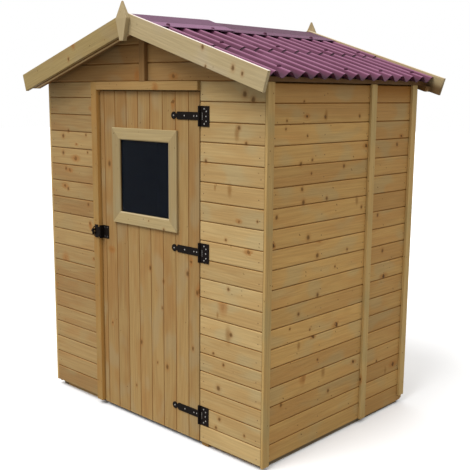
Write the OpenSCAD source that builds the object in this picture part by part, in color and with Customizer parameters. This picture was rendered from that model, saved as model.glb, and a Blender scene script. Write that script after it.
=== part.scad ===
// Small wooden garden shed: tongue and groove walls on a stud frame, a boarded door with a
// glazed window hung on three tee hinges, a hasp, and a gable roof of corrugated sheets.
// X runs along the front, Y from the front to the back, Z up. The ground is at Z = 0.

/* [Walls] */
// width over the cladding
wall_w = 1568; // [1200:1:2400]
// depth over the cladding
wall_d = 1176; // [900:1:2400]
// height of the front and back cladding up to the gable
wall_h = 1709; // [1500:1:2100]
// thickness of the cladding boards
clad_t = 12; // [9:0.5:22]
// depth of the studs and rails behind the cladding
frame_t = 28; // [22:1:60]
// width of a stud and height of a rail
stud_w = 28; // [22:1:60]
// height of the sole plates that lift the cladding off the ground
sole_h = 20; // [10:1:60]
// width of a sole plate
sole_w = 40; // [30:1:80]
// how far the sole plates stay behind the front and back cladding
sole_set = 20; // [0:1:24]
// how much higher the cladding left of the door starts
left_rise = 9; // [0:0.5:20]
// how far the top of the side cladding stays below the top of the front cladding
side_drop = 7; // [4:0.5:20]

/* [Trims] */
// width of the corner trims and of the battens over the panel joints
trim_w = 45; // [30:1:70]
// thickness of the corner trims and of the battens
trim_t = 14; // [9:0.5:25]
// place of the side battens behind the middle of the wall
batten_y = 196; // [-300:1:300]
// height of the right front corner trim off the ground
front_trim_z = 14; // [0:1:60]
// height of the rear corner trims off the ground
rear_trim_z = 46; // [20:1:80]
// width of the batten in the front gable
gable_batten_w = 40; // [30:1:70]
// thickness of the batten in the front gable
gable_batten_t = 22; // [9:0.5:30]
// place of the batten in the front gable
gable_batten_x = 18; // [-60:1:60]

/* [Doorway] */
// left side of the doorway, from the middle of the front
door_left = -347; // [-600:1:-200]
// right side of the doorway, where the right panel starts
door_right = 397; // [200:1:600]
// height of the header, up to the gable
header_h = 41; // [30:1:80]
// width of the posts on both sides of the doorway
post_w = 45; // [30:1:80]
// how far the left jamb stands in front of the cladding
jamb_out = 18; // [0:0.5:30]
// how far the left jamb ends above the lower edge of the cladding
jamb_rise = 5; // [0:0.5:20]
// how far the header stands in front of the cladding
header_out = 20; // [0:0.5:30]

/* [Door] */
// gap along the latch side
door_gap_left = 7; // [6:0.5:12]
// gap along the hinge side
door_gap_right = 6; // [5:0.5:10]
// gap at the top
door_gap_z = 6; // [5:0.5:15]
// how far the door ends above the lower edge of the cladding
door_rise = 2; // [0:0.5:20]
// thickness of the door boards
door_t = 14; // [10:0.5:25]
// height of a ledge on the back of the door
ledge_h = 90; // [60:1:140]
// thickness of a ledge
ledge_t = 24; // [15:1:40]
// how far the ledges stay inside the edges of the door
ledge_inset = 10; // [6:1:60]
// width of the brace, measured level
brace_w = 95; // [60:1:160]
// gap between the ends of the brace and the edges of the door
brace_inset = 18; // [10:1:80]

/* [Window] */
// size of the clear opening in the window frame
pane_view = 362; // [200:1:450]
// width of a frame member
frame_w = 59; // [30:1:90]
// thickness of a frame member
frame_out = 12; // [8:0.5:25]
// how far the pane goes behind the frame members
pane_lap = 8; // [4:0.5:15]
// thickness of the pane
pane_t = 4; // [2:0.5:6]
// width of the bead that holds the pane from inside
bead_w = 10; // [8:1:25]
// distance of the window from the middle of the door, towards the hinges
window_shift = -17; // [-60:1:60]
// distance from the top of the door to the middle of the window
window_drop = 418; // [350:1:600]

/* [Hinges] */
// distance from the top of the door to the upper hinge
hinge_top = 108; // [60:1:160]
// distance from the window frame down to the middle hinge
hinge_mid = 74.5; // [50:0.5:120]
// distance from the bottom of the door to the lower hinge
hinge_low = 136; // [60:1:250]
// distance from the hinge line to the tip of a strap
strap_l = 190; // [120:1:300]
// width of a strap
strap_w = 36; // [25:1:60]
// width of the neck behind the tip
neck_w = 18; // [8:1:24]
// length of the neck
neck_l = 8; // [4:1:16]
// radius of the round tip
tip_r = 17; // [10:0.5:24]
// thickness of the straps and plates
plate_t = 3; // [2:0.5:5]
// width of the wall plate, from the hinge line
plate_w = 61; // [40:1:90]
// height of the wall plate
plate_h = 92; // [60:1:140]
// outer radius of the knuckles
knuckle_r = 6; // [4.5:0.5:9]
// radius of the pin
pin_r = 2.5; // [2:0.1:4]
// running clearance between the pin and the turning knuckle
pin_gap = 0.08; // [0.02:0.01:0.1]
// gap between the knuckles along the pin
knuckle_gap = 0.6; // [0.3:0.1:2]

/* [Hasp] */
// height of the middle of the hasp above the middle hinge
hasp_rise = 10; // [-60:1:60]
// height of the plates of the hasp
hasp_plate_h = 68; // [40:1:90]
// width of the plate that is screwed to the door
hasp_plate_w = 44; // [30:1:70]
// distance from the edge of the door to the hinge line of the hasp
hasp_inset = 12; // [8:1:30]
// length of the hasp from its hinge line to the point
hasp_l = 74; // [60:1:120]
// height of the hasp
hasp_h = 52; // [40:1:70]
// height of the slot for the staple
slot_h = 40; // [20:1:44]
// height of the staple
staple_h = 28; // [16:1:34]
// thickness of the staple
staple_t = 4; // [3:0.5:8]
// how far the staple stands out of its plate
staple_out = 26; // [20:1:40]
// radius of the hole for a padlock
staple_hole_r = 7; // [4:0.5:9]
// width of the plate under the staple
staple_plate_w = 26; // [18:1:40]
// thickness of the plates of the hasp
hasp_t = 2.5; // [2:0.5:4]
// outer radius of the knuckles of the hasp
hasp_knuckle_r = 4; // [3:0.5:6]
// radius of the pin of the hasp
hasp_pin_r = 1.8; // [1.2:0.1:3]
// gap between the hasp and the plate under the staple
hasp_gap = 5; // [5:0.5:10]

/* [Roof] */
// height of the seat of the purlins over the upper corners of the front cladding
seat_rise = 1; // [0.5:0.5:20]
// slope of the roof, in degrees
roof_pitch = 17.4; // [10:0.1:35]
// front of the bargeboards, measured from the cladding
barge_out = 104; // [40:1:200]
// thickness of a bargeboard
barge_t = 18; // [12:0.5:30]
// width of a bargeboard
barge_w = 90; // [60:1:150]
// how far a bargeboard reaches past the side cladding
barge_over = 101; // [60:1:200]
// extra length of the rear bargeboards
rear_extra = 14; // [0:1:40]
// depth of the verge rafter behind a bargeboard
verge_d = 45; // [25:1:80]
// width of a purlin
purlin_w = 45; // [30:1:80]
// depth of a purlin, square to the slope
purlin_h = 21; // [15:1:60]
// distance of the upper purlins from the ridge, along the slope
ridge_purlin = 55; // [40:1:90]
// distance of the lower purlins from the eave, along the slope
eave_purlin = 49; // [30:1:90]

/* [Roof sheets] */
// pitch that the corrugation comes nearest to, with whole waves between the bargeboards
wave_step = 95; // [70:1:130]
// gap between a sheet and the bargeboards
verge_gap = 1; // [0.5:0.5:5]
// overall height of the corrugation
wave_h = 32; // [15:0.5:50]
// thickness of a sheet
sheet_t = 3; // [2:0.1:5]
// how far the crests stay below the top edges of the bargeboards
crest_drop = 11; // [8:0.5:30]
// how far the lower sheets reach past the side cladding
eave_over = 57.5; // [30:0.5:120]
// length of the lower sheets that shows below the upper ones
lower_show = 376; // [250:1:500]
// overlap of the upper sheets on the lower ones
lap_l = 100; // [60:1:200]
// upper edge of the upper sheets, from the ridge along the slope
top_s = 32; // [25:1:60]
// straight pieces in one wave
wave_steps = 10; // [6:2:24]
// straight pieces of the wave in front of the first valley
wave_lead = 4; // [0:1:10]

/* [Ridge cap] */
// width of one wing of the cap, along the slope
cap_w = 210; // [120:1:300]
// thickness of the cap
cap_t = 2.5; // [2:0.1:4]
// radius of the rounded fold
fold_r = 70; // [30:1:120]
// back end of the front cap, from the middle of the roof
cap_lap_y = -160; // [-400:1:400]
// overlap of the front cap on the rear one
cap_lap_l = 100; // [60:1:200]
// rise of the front cap towards its lapped end, in degrees
cap_tilt = 0.8; // [0.6:0.1:3]
// extra height of the front cap at its fold
cap_arch = 5; // [0:0.5:15]

/* [Finials] */
// thickness of a finial
finial_t = 24; // [12:1:40]
// height of its point above the top edges of the bargeboards
finial_up = 49; // [20:1:120]
// height of its head, from the widest place to the point
finial_head = 78; // [40:1:120]
// length of its tail, from the widest place down
finial_tail = 102; // [60:1:160]
// width at the widest place
finial_w = 78; // [40:1:120]
// width of the lower end
finial_low_w = 26; // [20:1:60]

/* [Hidden] */
$fn = 48;
fit = 0.3;
half_w = wall_w / 2;
half_d = wall_d / 2;
clad_in_x = half_w - clad_t;
clad_in_y = half_d - clad_t;
sole_y = clad_in_y - sole_set;
room_x = clad_in_x - frame_t;
room_y = clad_in_y - frame_t;
clad_z = sole_h;
left_z = clad_z + left_rise;
wall_z = clad_z + wall_h;
side_z = wall_z - side_drop;
slope = tan(roof_pitch);
pitch_cos = cos(roof_pitch);
pitch_sin = sin(roof_pitch);
wave_mid = -crest_drop - wave_h / 2;
wave_a = (wave_h - sheet_t) / 2;
purlin_top = -crest_drop - wave_h;
purlin_low = purlin_top - purlin_h;
seat_z = wall_z + slope * half_w + seat_rise;
gable_z = seat_z - fit;
ridge_z = seat_z - purlin_low / pitch_cos;
barge_l = (half_w + barge_over) / pitch_cos;
eave_s = (half_w + eave_over) / pitch_cos;
lap_s = eave_s - lower_show;
purlin_s = [ridge_purlin, lap_s - lap_l / 2, eave_s - eave_purlin];
trim_z = gable_z - slope * (half_w + trim_t) - fit;
barge_y = half_d + barge_out;
barge_in = barge_y - barge_t;
roof_l = 2 * (barge_in - verge_gap);
waves = round(roof_l / wave_step);
wave_pitch = roof_l / waves;
lift = sheet_t + fit;
cap_low = -crest_drop + lift + fit;
stud_z = clad_z + stud_w;
plate_z = wall_z - stud_w;
panel_x = door_left - post_w;
door_x0 = door_left + door_gap_left;
door_x1 = door_right - door_gap_right;
door_z0 = clad_z + door_rise;
header_z = wall_z - header_h;
door_z1 = header_z - door_gap_z;
door_in = half_d - door_t;
window_x = (door_x0 + door_x1) / 2 + window_shift;
window_z = door_z1 - window_drop;
hole = pane_view + 2 * pane_lap;
frame_size = pane_view + 2 * frame_w;
hinge_x = (door_x1 + door_right) / 2;
hinge_y = -half_d - knuckle_r;
hinge_z = [door_z0 + hinge_low, window_z - frame_size / 2 - hinge_mid, door_z1 - hinge_top];
knuckle_h = plate_h / 3;
hasp_z = hinge_z[1] + hasp_rise;
hasp_x = door_x0 + hasp_inset;
jamb_y = -half_d - jamb_out;
hasp_in = jamb_y - hasp_t - hasp_gap;
hasp_y = hasp_in + hasp_knuckle_r - hasp_t;
hasp_knuckle_h = hasp_plate_h / 3;
staple_s = hasp_l / 2;
staple_x = hasp_x - staple_s;
staple_reach = hasp_y - jamb_y + hasp_t + staple_out + hasp_gap;
slot_near = staple_s - staple_t / 2 - hasp_gap;
slot_far = norm([staple_s + staple_t / 2 + hasp_gap, staple_reach]);

// A box from its lowest to its highest corner.
module box(a, b) {
    translate(a) cube(b - a);
}

// Draws the same piece on both sides of the middle of the front.
module both_sides() {
    children();
    mirror([1, 0, 0]) children();
}

// Draws the same piece at the front and at the back.
module both_ends() {
    children();
    mirror([0, 1, 0]) children();
}

// Gives a flat outline drawn in X and Z its depth along Y.
module upright(y0, y1) {
    translate([0, y1, 0]) rotate([90, 0, 0]) linear_extrude(y1 - y0) children();
}

// Lays a piece on the right slope: X runs down the slope, Z stands square to it.
module on_slope() {
    translate([0, 0, ridge_z]) rotate([0, roof_pitch, 0]) children();
}

module side_soles() {
    color("dimgray") both_sides()
        box([clad_in_x - sole_w, -sole_y, 0], [clad_in_x, sole_y, sole_h]);
}

module end_soles() {
    x1 = clad_in_x - sole_w;
    color("dimgray") {
        box([-x1, sole_y - sole_w, 0], [x1, sole_y, sole_h]);
        box([-x1, -sole_y, 0], [panel_x, sole_w - sole_y, left_z]);
        box([door_right + post_w, -sole_y, 0], [x1, sole_w - sole_y, sole_h]);
    }
}

module front_left_panel() {
    color("burlywood") box([-half_w, -half_d, left_z], [panel_x, -clad_in_y, wall_z]);
}

module front_right_panel() {
    color("burlywood") box([door_right, -half_d, clad_z], [half_w, -clad_in_y, wall_z]);
}

module gable_outline() {
    end_z = gable_z - slope * half_w;
    polygon([[-half_w, wall_z], [half_w, wall_z], [half_w, end_z], [0, gable_z], [-half_w, end_z]]);
}

module front_gable() {
    color("tan") upright(-half_d, -clad_in_y) gable_outline();
}

module back_gable() {
    color("tan") upright(clad_in_y, half_d) gable_outline();
}

module side_cladding() {
    box([clad_in_x, -clad_in_y, clad_z], [half_w, clad_in_y, side_z]);
}

module right_wall() {
    color("peru") side_cladding();
}

module left_wall() {
    color("peru") mirror([1, 0, 0]) side_cladding();
}

module back_wall() {
    color("burlywood") box([-half_w, clad_in_y, clad_z], [half_w, half_d, wall_z]);
}

// One stud of an end wall, from its left edge.
module end_stud(x, w, y) {
    box([x, y, stud_z], [x + w, y + frame_t, plate_z]);
}

module end_studs() {
    color("wheat") {
        end_stud(room_x, clad_in_x - room_x, -clad_in_y);
        box([-clad_in_x, -clad_in_y, left_z + stud_w], [-room_x, -room_y, plate_z]);
        box([panel_x - stud_w, -clad_in_y, left_z + stud_w], [panel_x, -room_y, plate_z]);
        both_sides() end_stud(room_x, clad_in_x - room_x, room_y);
        both_sides() end_stud(half_w / 2 - stud_w / 2, stud_w, room_y);
        end_stud(-stud_w, 2 * stud_w, room_y);
    }
}

module end_rails() {
    color("wheat") for (z = [left_z, plate_z])
        box([-clad_in_x, -clad_in_y, z], [panel_x, -room_y, z + stud_w]);
    color("wheat") for (z = [clad_z, plate_z]) {
        box([door_right + post_w, -clad_in_y, z], [clad_in_x, -room_y, z + stud_w]);
        box([-clad_in_x, room_y, z], [clad_in_x, clad_in_y, z + stud_w]);
    }
}

// One stud of a side wall, from its front edge.
module side_stud(y, w) {
    box([room_x, y, stud_z], [clad_in_x, y + w, side_z - stud_w]);
}

module side_studs() {
    color("wheat") both_sides() {
        side_stud(-room_y, stud_w);
        side_stud((batten_y - room_y) / 2 - stud_w / 2, stud_w);
        side_stud(batten_y - stud_w, 2 * stud_w);
        side_stud(room_y - stud_w, stud_w);
    }
}

module side_rails() {
    color("wheat") both_sides() for (z = [clad_z, side_z - stud_w])
        box([room_x, -room_y, z], [clad_in_x, room_y, z + stud_w]);
}

module gable_rails() {
    half = (gable_z - frame_t / pitch_cos - wall_z - stud_w) / slope - fit;
    color("wheat") both_ends()
        box([-half, -clad_in_y, wall_z], [half, -room_y, wall_z + stud_w]);
}

module gable_posts() {
    top = gable_z - slope * stud_w / 2;
    color("wheat") both_ends()
        box([-stud_w / 2, -clad_in_y, wall_z + stud_w], [stud_w / 2, -room_y, top]);
}

module gable_rafters() {
    x0 = stud_w / 2;
    low_z = gable_z - frame_t / pitch_cos;
    color("wheat") both_ends() both_sides() upright(-clad_in_y, -room_y)
        polygon([[x0, low_z - slope * x0], [(low_z - wall_z) / slope, wall_z], [clad_in_x, wall_z],
            [clad_in_x, gable_z - slope * clad_in_x], [x0, gable_z - slope * x0]]);
}

module door_jamb() {
    color("sandybrown") box([panel_x, jamb_y, clad_z + jamb_rise], [door_left, -room_y, wall_z]);
}

module door_post() {
    color("sandybrown") box([door_right, -clad_in_y, 0], [door_right + post_w, -room_y, plate_z]);
}

module door_header() {
    color("sandybrown")
        box([door_left, -half_d - header_out, header_z], [door_right, -room_y, wall_z]);
}

module corner_trims() {
    color("navajowhite") {
        box([half_w, -half_d, front_trim_z], [half_w + trim_t, trim_w - half_d, trim_z]);
        box([-half_w - trim_t, -half_d, left_z], [-half_w, trim_w - half_d, trim_z]);
        both_sides()
            box([half_w, half_d - trim_w, rear_trim_z], [half_w + trim_t, half_d, trim_z]);
    }
}

module side_battens() {
    color("navajowhite") both_sides()
        box([half_w, batten_y - trim_w / 2, clad_z], [half_w + trim_t, batten_y + trim_w / 2, trim_z]);
}

module gable_batten() {
    x0 = gable_batten_x - gable_batten_w / 2;
    x1 = gable_batten_x + gable_batten_w / 2;
    top = gable_z - slope * max(abs(x0), abs(x1));
    color("navajowhite")
        box([x0, -half_d - gable_batten_t, wall_z], [x1, -half_d, top]);
}

module back_batten() {
    color("navajowhite") box([-trim_w / 2, half_d, clad_z],
        [trim_w / 2, half_d + trim_t, gable_z - slope * trim_w / 2]);
}

module purlins() {
    color("khaki") both_sides() on_slope() for (s = purlin_s)
        box([s - purlin_w / 2, -barge_in, purlin_low], [s + purlin_w / 2, barge_in, purlin_top]);
}

// Outline of a board that lies along the right slope, cut upright at the ridge and square below.
module slope_outline(high, low, length) {
    polygon([[0, ridge_z + high / pitch_cos],
        [length * pitch_cos + high * pitch_sin, ridge_z - length * pitch_sin + high * pitch_cos],
        [length * pitch_cos + low * pitch_sin, ridge_z - length * pitch_sin + low * pitch_cos],
        [0, ridge_z + low / pitch_cos]]);
}

module verge_rafter() {
    intersection() {
        upright(-barge_in, verge_d - barge_in) slope_outline(purlin_low - fit, -barge_w, eave_s);
        box([fit, -barge_y, 0], [barge_l, barge_y, ridge_z]);
    }
}

module verge_rafters() {
    color("khaki") both_ends() both_sides() verge_rafter();
}

// Heights of the wave across the sheet, moved up by a given amount.
function wave(up) = [for (i = [0 : waves * wave_steps])
    [i * wave_pitch / wave_steps - roof_l / 2,
        wave_mid + up - wave_a * cos(360 * (i - wave_lead) / wave_steps)]];

function reversed(list) = [for (i = [len(list) - 1 : -1 : 0]) list[i]];

// A corrugated sheet on the right slope, with whole waves between the bargeboards.
module sheet(s0, s1, up) {
    on_slope() translate([s0, 0, 0]) rotate([90, 0, 90]) linear_extrude(s1 - s0)
        polygon(concat(wave(up - sheet_t / 2), reversed(wave(up + sheet_t / 2))));
}

module lower_sheet_right() {
    color("mediumvioletred") sheet(lap_s - lap_l, eave_s, 0);
}

module lower_sheet_left() {
    color("mediumvioletred") mirror([1, 0, 0]) sheet(lap_s - lap_l, eave_s, 0);
}

module upper_sheet_right() {
    color("palevioletred") sheet(top_s, lap_s, lift);
}

module upper_sheet_left() {
    color("palevioletred") mirror([1, 0, 0]) sheet(top_s, lap_s, lift);
}

// Area under a folded sheet whose two wings are tangent to the rounded fold. An arch lifts the
// fold and leaves the edges of the wings where they are.
module fold_area(up, r, reach, arch) {
    fall = slope + arch / (cap_w * pitch_cos);
    apex = ridge_z + up / pitch_cos + arch;
    low = ridge_z - cap_w;
    side = r * sin(atan(fall));
    difference() {
        polygon([[-reach, low], [reach, low], [reach, apex - fall * reach], [0, apex],
            [-reach, apex - fall * reach]]);
        difference() {
            polygon([[0, apex + r], [-side, apex - fall * side], [side, apex - fall * side]]);
            translate([0, apex - r / cos(atan(fall))]) circle(r, $fn = 96);
        }
    }
}

module cap(y0, y1, arch) {
    reach = cap_w * pitch_cos;
    upright(y0, y1) difference() {
        fold_area(cap_low + cap_t, fold_r, reach, arch);
        fold_area(cap_low, fold_r - cap_t, cap_w, arch);
    }
}

// The front cap rests on the first crest and rises towards its lap over the rear cap.
module ridge_cap_front() {
    lead = (wave_lead / wave_steps + 1 / 2) * wave_pitch;
    crest_y = lead - roof_l / 2;
    color("maroon") translate([0, crest_y, ridge_z]) rotate([cap_tilt, 0, 0])
        translate([0, 0, -ridge_z]) cap(-lead, cap_lap_y - crest_y, cap_arch);
}

module ridge_cap_rear() {
    color("maroon") cap(cap_lap_y - cap_lap_l, roof_l / 2, 0);
}

// The two bargeboards of the right slope.
module bargeboards() {
    upright(-barge_y, -barge_in) slope_outline(0, -barge_w, barge_l);
    upright(barge_in, barge_y) slope_outline(0, -barge_w, barge_l + rear_extra);
}

module bargeboards_right() {
    color("moccasin") bargeboards();
}

module bargeboards_left() {
    color("moccasin") mirror([1, 0, 0]) bargeboards();
}

module finials() {
    mid_z = ridge_z + finial_up - finial_head;
    color("moccasin") both_ends() upright(-barge_y - finial_t, -barge_y)
        polygon([[-finial_low_w / 2, mid_z - finial_tail], [finial_low_w / 2, mid_z - finial_tail],
            [finial_w / 2, mid_z], [0, mid_z + finial_head], [-finial_w / 2, mid_z]]);
}

module door_leaf() {
    color("goldenrod") difference() {
        box([door_x0, -half_d, door_z0], [door_x1, -door_in, door_z1]);
        translate([window_x - hole / 2, -half_d - 1, window_z - hole / 2])
            cube([hole, door_t + 2, hole]);
    }
}

module door_ledges() {
    color("darkgoldenrod") for (z = hinge_z)
        box([door_x0 + ledge_inset, -door_in, z - ledge_h / 2],
            [door_x1 - ledge_inset, ledge_t - door_in, z + ledge_h / 2]);
}

module door_brace() {
    z0 = hinge_z[0] + ledge_h / 2;
    z1 = hinge_z[1] - ledge_h / 2;
    x0 = door_x0 + brace_inset;
    x1 = door_x1 - brace_inset;
    color("darkgoldenrod") upright(-door_in, ledge_t - door_in)
        polygon([[x1 - brace_w, z0], [x1, z0], [x0 + brace_w, z1], [x0, z1]]);
}

// One mitred member of the window frame, the lower one.
module frame_member() {
    outer = frame_size / 2;
    inner = pane_view / 2;
    polygon([[-outer, -outer], [outer, -outer], [inner, -inner], [-inner, -inner]]);
}

module window_member(turn) {
    translate([window_x, 0, window_z]) rotate([0, turn, 0])
        upright(-half_d - frame_out, -half_d) frame_member();
}

module window_rails() {
    color("moccasin") for (turn = [0, 180]) window_member(turn);
}

module window_stiles() {
    color("moccasin") for (turn = [90, 270]) window_member(turn);
}

module window_bead() {
    clear = hole - 2 * bead_w;
    color("darkgoldenrod") translate([window_x, 0, window_z])
        upright(pane_t - half_d, -door_in) difference() {
            square(hole, center = true);
            square(clear, center = true);
        }
}

module window_pane() {
    color("slategray") translate([window_x, 0, window_z])
        upright(-half_d, pane_t - half_d) square(hole, center = true);
}

// Outline of a strap: a bar, a neck and a round tip, with X away from the hinge line.
module strap_outline() {
    tip = strap_l - tip_r;
    neck = tip - tip_r - neck_l / 2;
    corner = (strap_w - neck_w) / 4;
    union() {
        polygon([[0, -strap_w / 2], [neck - corner, -strap_w / 2], [neck, corner - strap_w / 2],
            [neck, -neck_w / 2], [tip, -neck_w / 2], [tip, neck_w / 2], [neck, neck_w / 2],
            [neck, strap_w / 2 - corner], [neck - corner, strap_w / 2], [0, strap_w / 2]]);
        translate([tip, 0]) circle(tip_r);
    }
}

module strap() {
    h = knuckle_h - knuckle_gap;
    difference() {
        union() {
            difference() {
                mirror([1, 0, 0]) upright(knuckle_r - plate_t, knuckle_r) strap_outline();
                box([-knuckle_r - knuckle_gap, -knuckle_r, h / 2], [1, knuckle_r + 1, strap_w]);
                box([-knuckle_r - knuckle_gap, -knuckle_r, -strap_w], [1, knuckle_r + 1, -h / 2]);
            }
            cylinder(h = h, r = knuckle_r, center = true);
        }
        cylinder(h = strap_w, r = pin_r + pin_gap, center = true);
    }
}

module hinge_straps() {
    color("black") for (z = hinge_z) translate([hinge_x, hinge_y, z]) strap();
}

module wall_plate() {
    h = knuckle_h + knuckle_gap;
    difference() {
        union() {
            box([0, knuckle_r - plate_t, -plate_h / 2], [plate_w, knuckle_r, plate_h / 2]);
            cylinder(h = plate_h, r = knuckle_r, center = true);
        }
        box([-knuckle_r - 1, -knuckle_r - 1, -h / 2], [knuckle_r + knuckle_gap, knuckle_r + 1, h / 2]);
    }
    cylinder(h = plate_h, r = pin_r, center = true);
}

module hinge_plates() {
    color("dimgray") for (z = hinge_z) translate([hinge_x, hinge_y, z]) wall_plate();
}

// Cranked bracket that carries the hasp in front of the jamb, with its hinge pin.
module hasp_bracket() {
    h = hasp_knuckle_h + knuckle_gap;
    r = hasp_knuckle_r;
    color("black") translate([hasp_x, 0, hasp_z]) {
        difference() {
            union() {
                box([0, -half_d - hasp_t, -hasp_plate_h / 2], [hasp_plate_w, -half_d, hasp_plate_h / 2]);
                box([0, hasp_y, -hasp_plate_h / 2], [r, -half_d, hasp_plate_h / 2]);
                translate([0, hasp_y, 0]) cylinder(h = hasp_plate_h, r = r, center = true);
            }
            box([-r - 1, hasp_y - r - 1, -h / 2], [r + 1, hasp_y + r + knuckle_gap, h / 2]);
        }
        translate([0, hasp_y, 0]) cylinder(h = hasp_plate_h, r = hasp_pin_r, center = true);
    }
}

// Outline of the swinging hasp, pointed at its free end, with X away from the hinge line. Its
// slot lets the staple pass as the hasp turns.
module hasp_outline() {
    square_end = hasp_l - hasp_h / 2;
    difference() {
        polygon([[0, -hasp_h / 2], [square_end, -hasp_h / 2], [hasp_l, 0],
            [square_end, hasp_h / 2], [0, hasp_h / 2]]);
        translate([slot_near, -slot_h / 2]) square([slot_far - slot_near, slot_h]);
    }
}

module hasp_leaf() {
    h = hasp_knuckle_h - knuckle_gap;
    r = hasp_knuckle_r;
    color("dimgray") translate([hasp_x, 0, hasp_z]) difference() {
        union() {
            difference() {
                mirror([1, 0, 0]) upright(hasp_in - hasp_t, hasp_in) hasp_outline();
                box([-r - knuckle_gap, hasp_in - r, h / 2], [1, -half_d, hasp_h]);
                box([-r - knuckle_gap, hasp_in - r, -hasp_h], [1, -half_d, -h / 2]);
            }
            translate([0, hasp_y, 0]) cylinder(h = h, r = r, center = true);
        }
        translate([0, hasp_y, 0]) cylinder(h = hasp_h, r = hasp_pin_r + pin_gap, center = true);
    }
}

module staple() {
    eye_y = jamb_y - hasp_t - staple_out + staple_hole_r + staple_t;
    color("black") translate([staple_x, 0, hasp_z]) {
        box([-staple_plate_w / 2, jamb_y - hasp_t, -hasp_plate_h / 2],
            [staple_plate_w / 2, jamb_y, hasp_plate_h / 2]);
        difference() {
            box([-staple_t / 2, jamb_y - hasp_t - staple_out, -staple_h / 2],
                [staple_t / 2, jamb_y, staple_h / 2]);
            translate([0, eye_y, 0]) rotate([0, 90, 0])
                cylinder(h = staple_h, r = staple_hole_r, center = true);
        }
    }
}

side_soles();
end_soles();
front_left_panel();
front_right_panel();
front_gable();
right_wall();
left_wall();
back_wall();
back_gable();
end_studs();
end_rails();
side_studs();
side_rails();
gable_rails();
gable_posts();
gable_rafters();
door_jamb();
door_post();
door_header();
corner_trims();
side_battens();
gable_batten();
back_batten();
purlins();
verge_rafters();
lower_sheet_right();
lower_sheet_left();
upper_sheet_right();
upper_sheet_left();
ridge_cap_front();
ridge_cap_rear();
bargeboards_right();
bargeboards_left();
finials();
door_leaf();
door_ledges();
door_brace();
window_rails();
window_stiles();
window_bead();
window_pane();
hinge_straps();
hinge_plates();
hasp_bracket();
hasp_leaf();
staple();
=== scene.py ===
"""Looks of a small wooden garden shed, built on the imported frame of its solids.

Every wall becomes separate tongue and groove boards, the trims get eased edges, the roof gets
smooth corrugated sheets with nails, and the door gets its boards, screws and finishes. All
lengths are metres in the frame of the solids: X along the front, Y from front to back, Z up.
"""
from __future__ import annotations

import logging
import math
from dataclasses import dataclass, field, replace
from enum import Enum

import bpy
import numpy as np
from mathutils import Matrix
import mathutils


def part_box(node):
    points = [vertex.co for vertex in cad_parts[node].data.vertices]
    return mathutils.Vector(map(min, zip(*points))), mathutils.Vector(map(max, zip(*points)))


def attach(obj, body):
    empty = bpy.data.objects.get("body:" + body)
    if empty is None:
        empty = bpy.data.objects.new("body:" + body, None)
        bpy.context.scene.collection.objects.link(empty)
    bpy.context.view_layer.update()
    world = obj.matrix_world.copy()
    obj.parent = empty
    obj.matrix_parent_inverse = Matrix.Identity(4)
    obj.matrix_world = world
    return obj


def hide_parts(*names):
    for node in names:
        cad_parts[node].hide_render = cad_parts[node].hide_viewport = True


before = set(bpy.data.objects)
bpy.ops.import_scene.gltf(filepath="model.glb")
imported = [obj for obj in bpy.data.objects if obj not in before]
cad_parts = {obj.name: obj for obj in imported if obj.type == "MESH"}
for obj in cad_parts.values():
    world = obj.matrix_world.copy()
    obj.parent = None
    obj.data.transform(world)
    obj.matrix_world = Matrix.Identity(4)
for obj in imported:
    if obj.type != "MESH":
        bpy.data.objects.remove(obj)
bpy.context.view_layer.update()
LOG = logging.getLogger("garden_shed")

Vector = tuple[float, float, float]
Colour = tuple[float, float, float]

PITCH = math.radians(17.4)
GRAIN_SHIFT = 40.0
HEAD_SIDES = 10
HAIR = 0.0001


class Face(Enum):
    """Sides of the shed, each with its axes: along the wall, up, and outwards."""

    FRONT = ((1, 0, 0), (0, 0, 1), (0, -1, 0))
    BACK = ((-1, 0, 0), (0, 0, 1), (0, 1, 0))
    RIGHT = ((0, 1, 0), (0, 0, 1), (1, 0, 0))
    LEFT = ((0, -1, 0), (0, 0, 1), (-1, 0, 0))

    @property
    def axes(self) -> np.ndarray:
        """Rows of the side's basis."""
        return np.array(self.value, float)

    @property
    def upright(self) -> np.ndarray:
        """Rows of a basis whose first axis runs up the wall, for pieces that stand."""
        along, up, out = self.axes
        return np.array([up, -along, out])


class Grain(Enum):
    """Direction of the wood grain on a piece that has no grain map of its own."""

    MAP = None
    X = (1.0, 0.0, 0.0)
    Y = (0.0, 1.0, 0.0)
    Z = (0.0, 0.0, 1.0)
    BRACE = (-0.66, 0.0, 0.75)


def linear(red: int, green: int, blue: int) -> Colour:
    """Turns a display colour from 0 to 255 into linear light.

    Args:
        red: Red share.
        green: Green share.
        blue: Blue share.

    Returns:
        The three linear shares, by the usual display curve.
    """
    shares = np.array([red, green, blue]) / 255.0
    low = shares / 12.92
    high = ((shares + 0.055) / 1.055) ** 2.4
    return tuple(float(value) for value in np.where(shares <= 0.04045, low, high))


def node_span(node: str, axes: np.ndarray) -> np.ndarray:
    """Gives a node's box along a side's own axes.

    Args:
        node: Name of the node.
        axes: Rows of the basis.

    Returns:
        Three rows of lowest and highest value.
    """
    corners = np.array([axes @ np.array(corner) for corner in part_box(node)])
    return np.stack([corners.min(axis=0), corners.max(axis=0)], axis=1)


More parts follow.
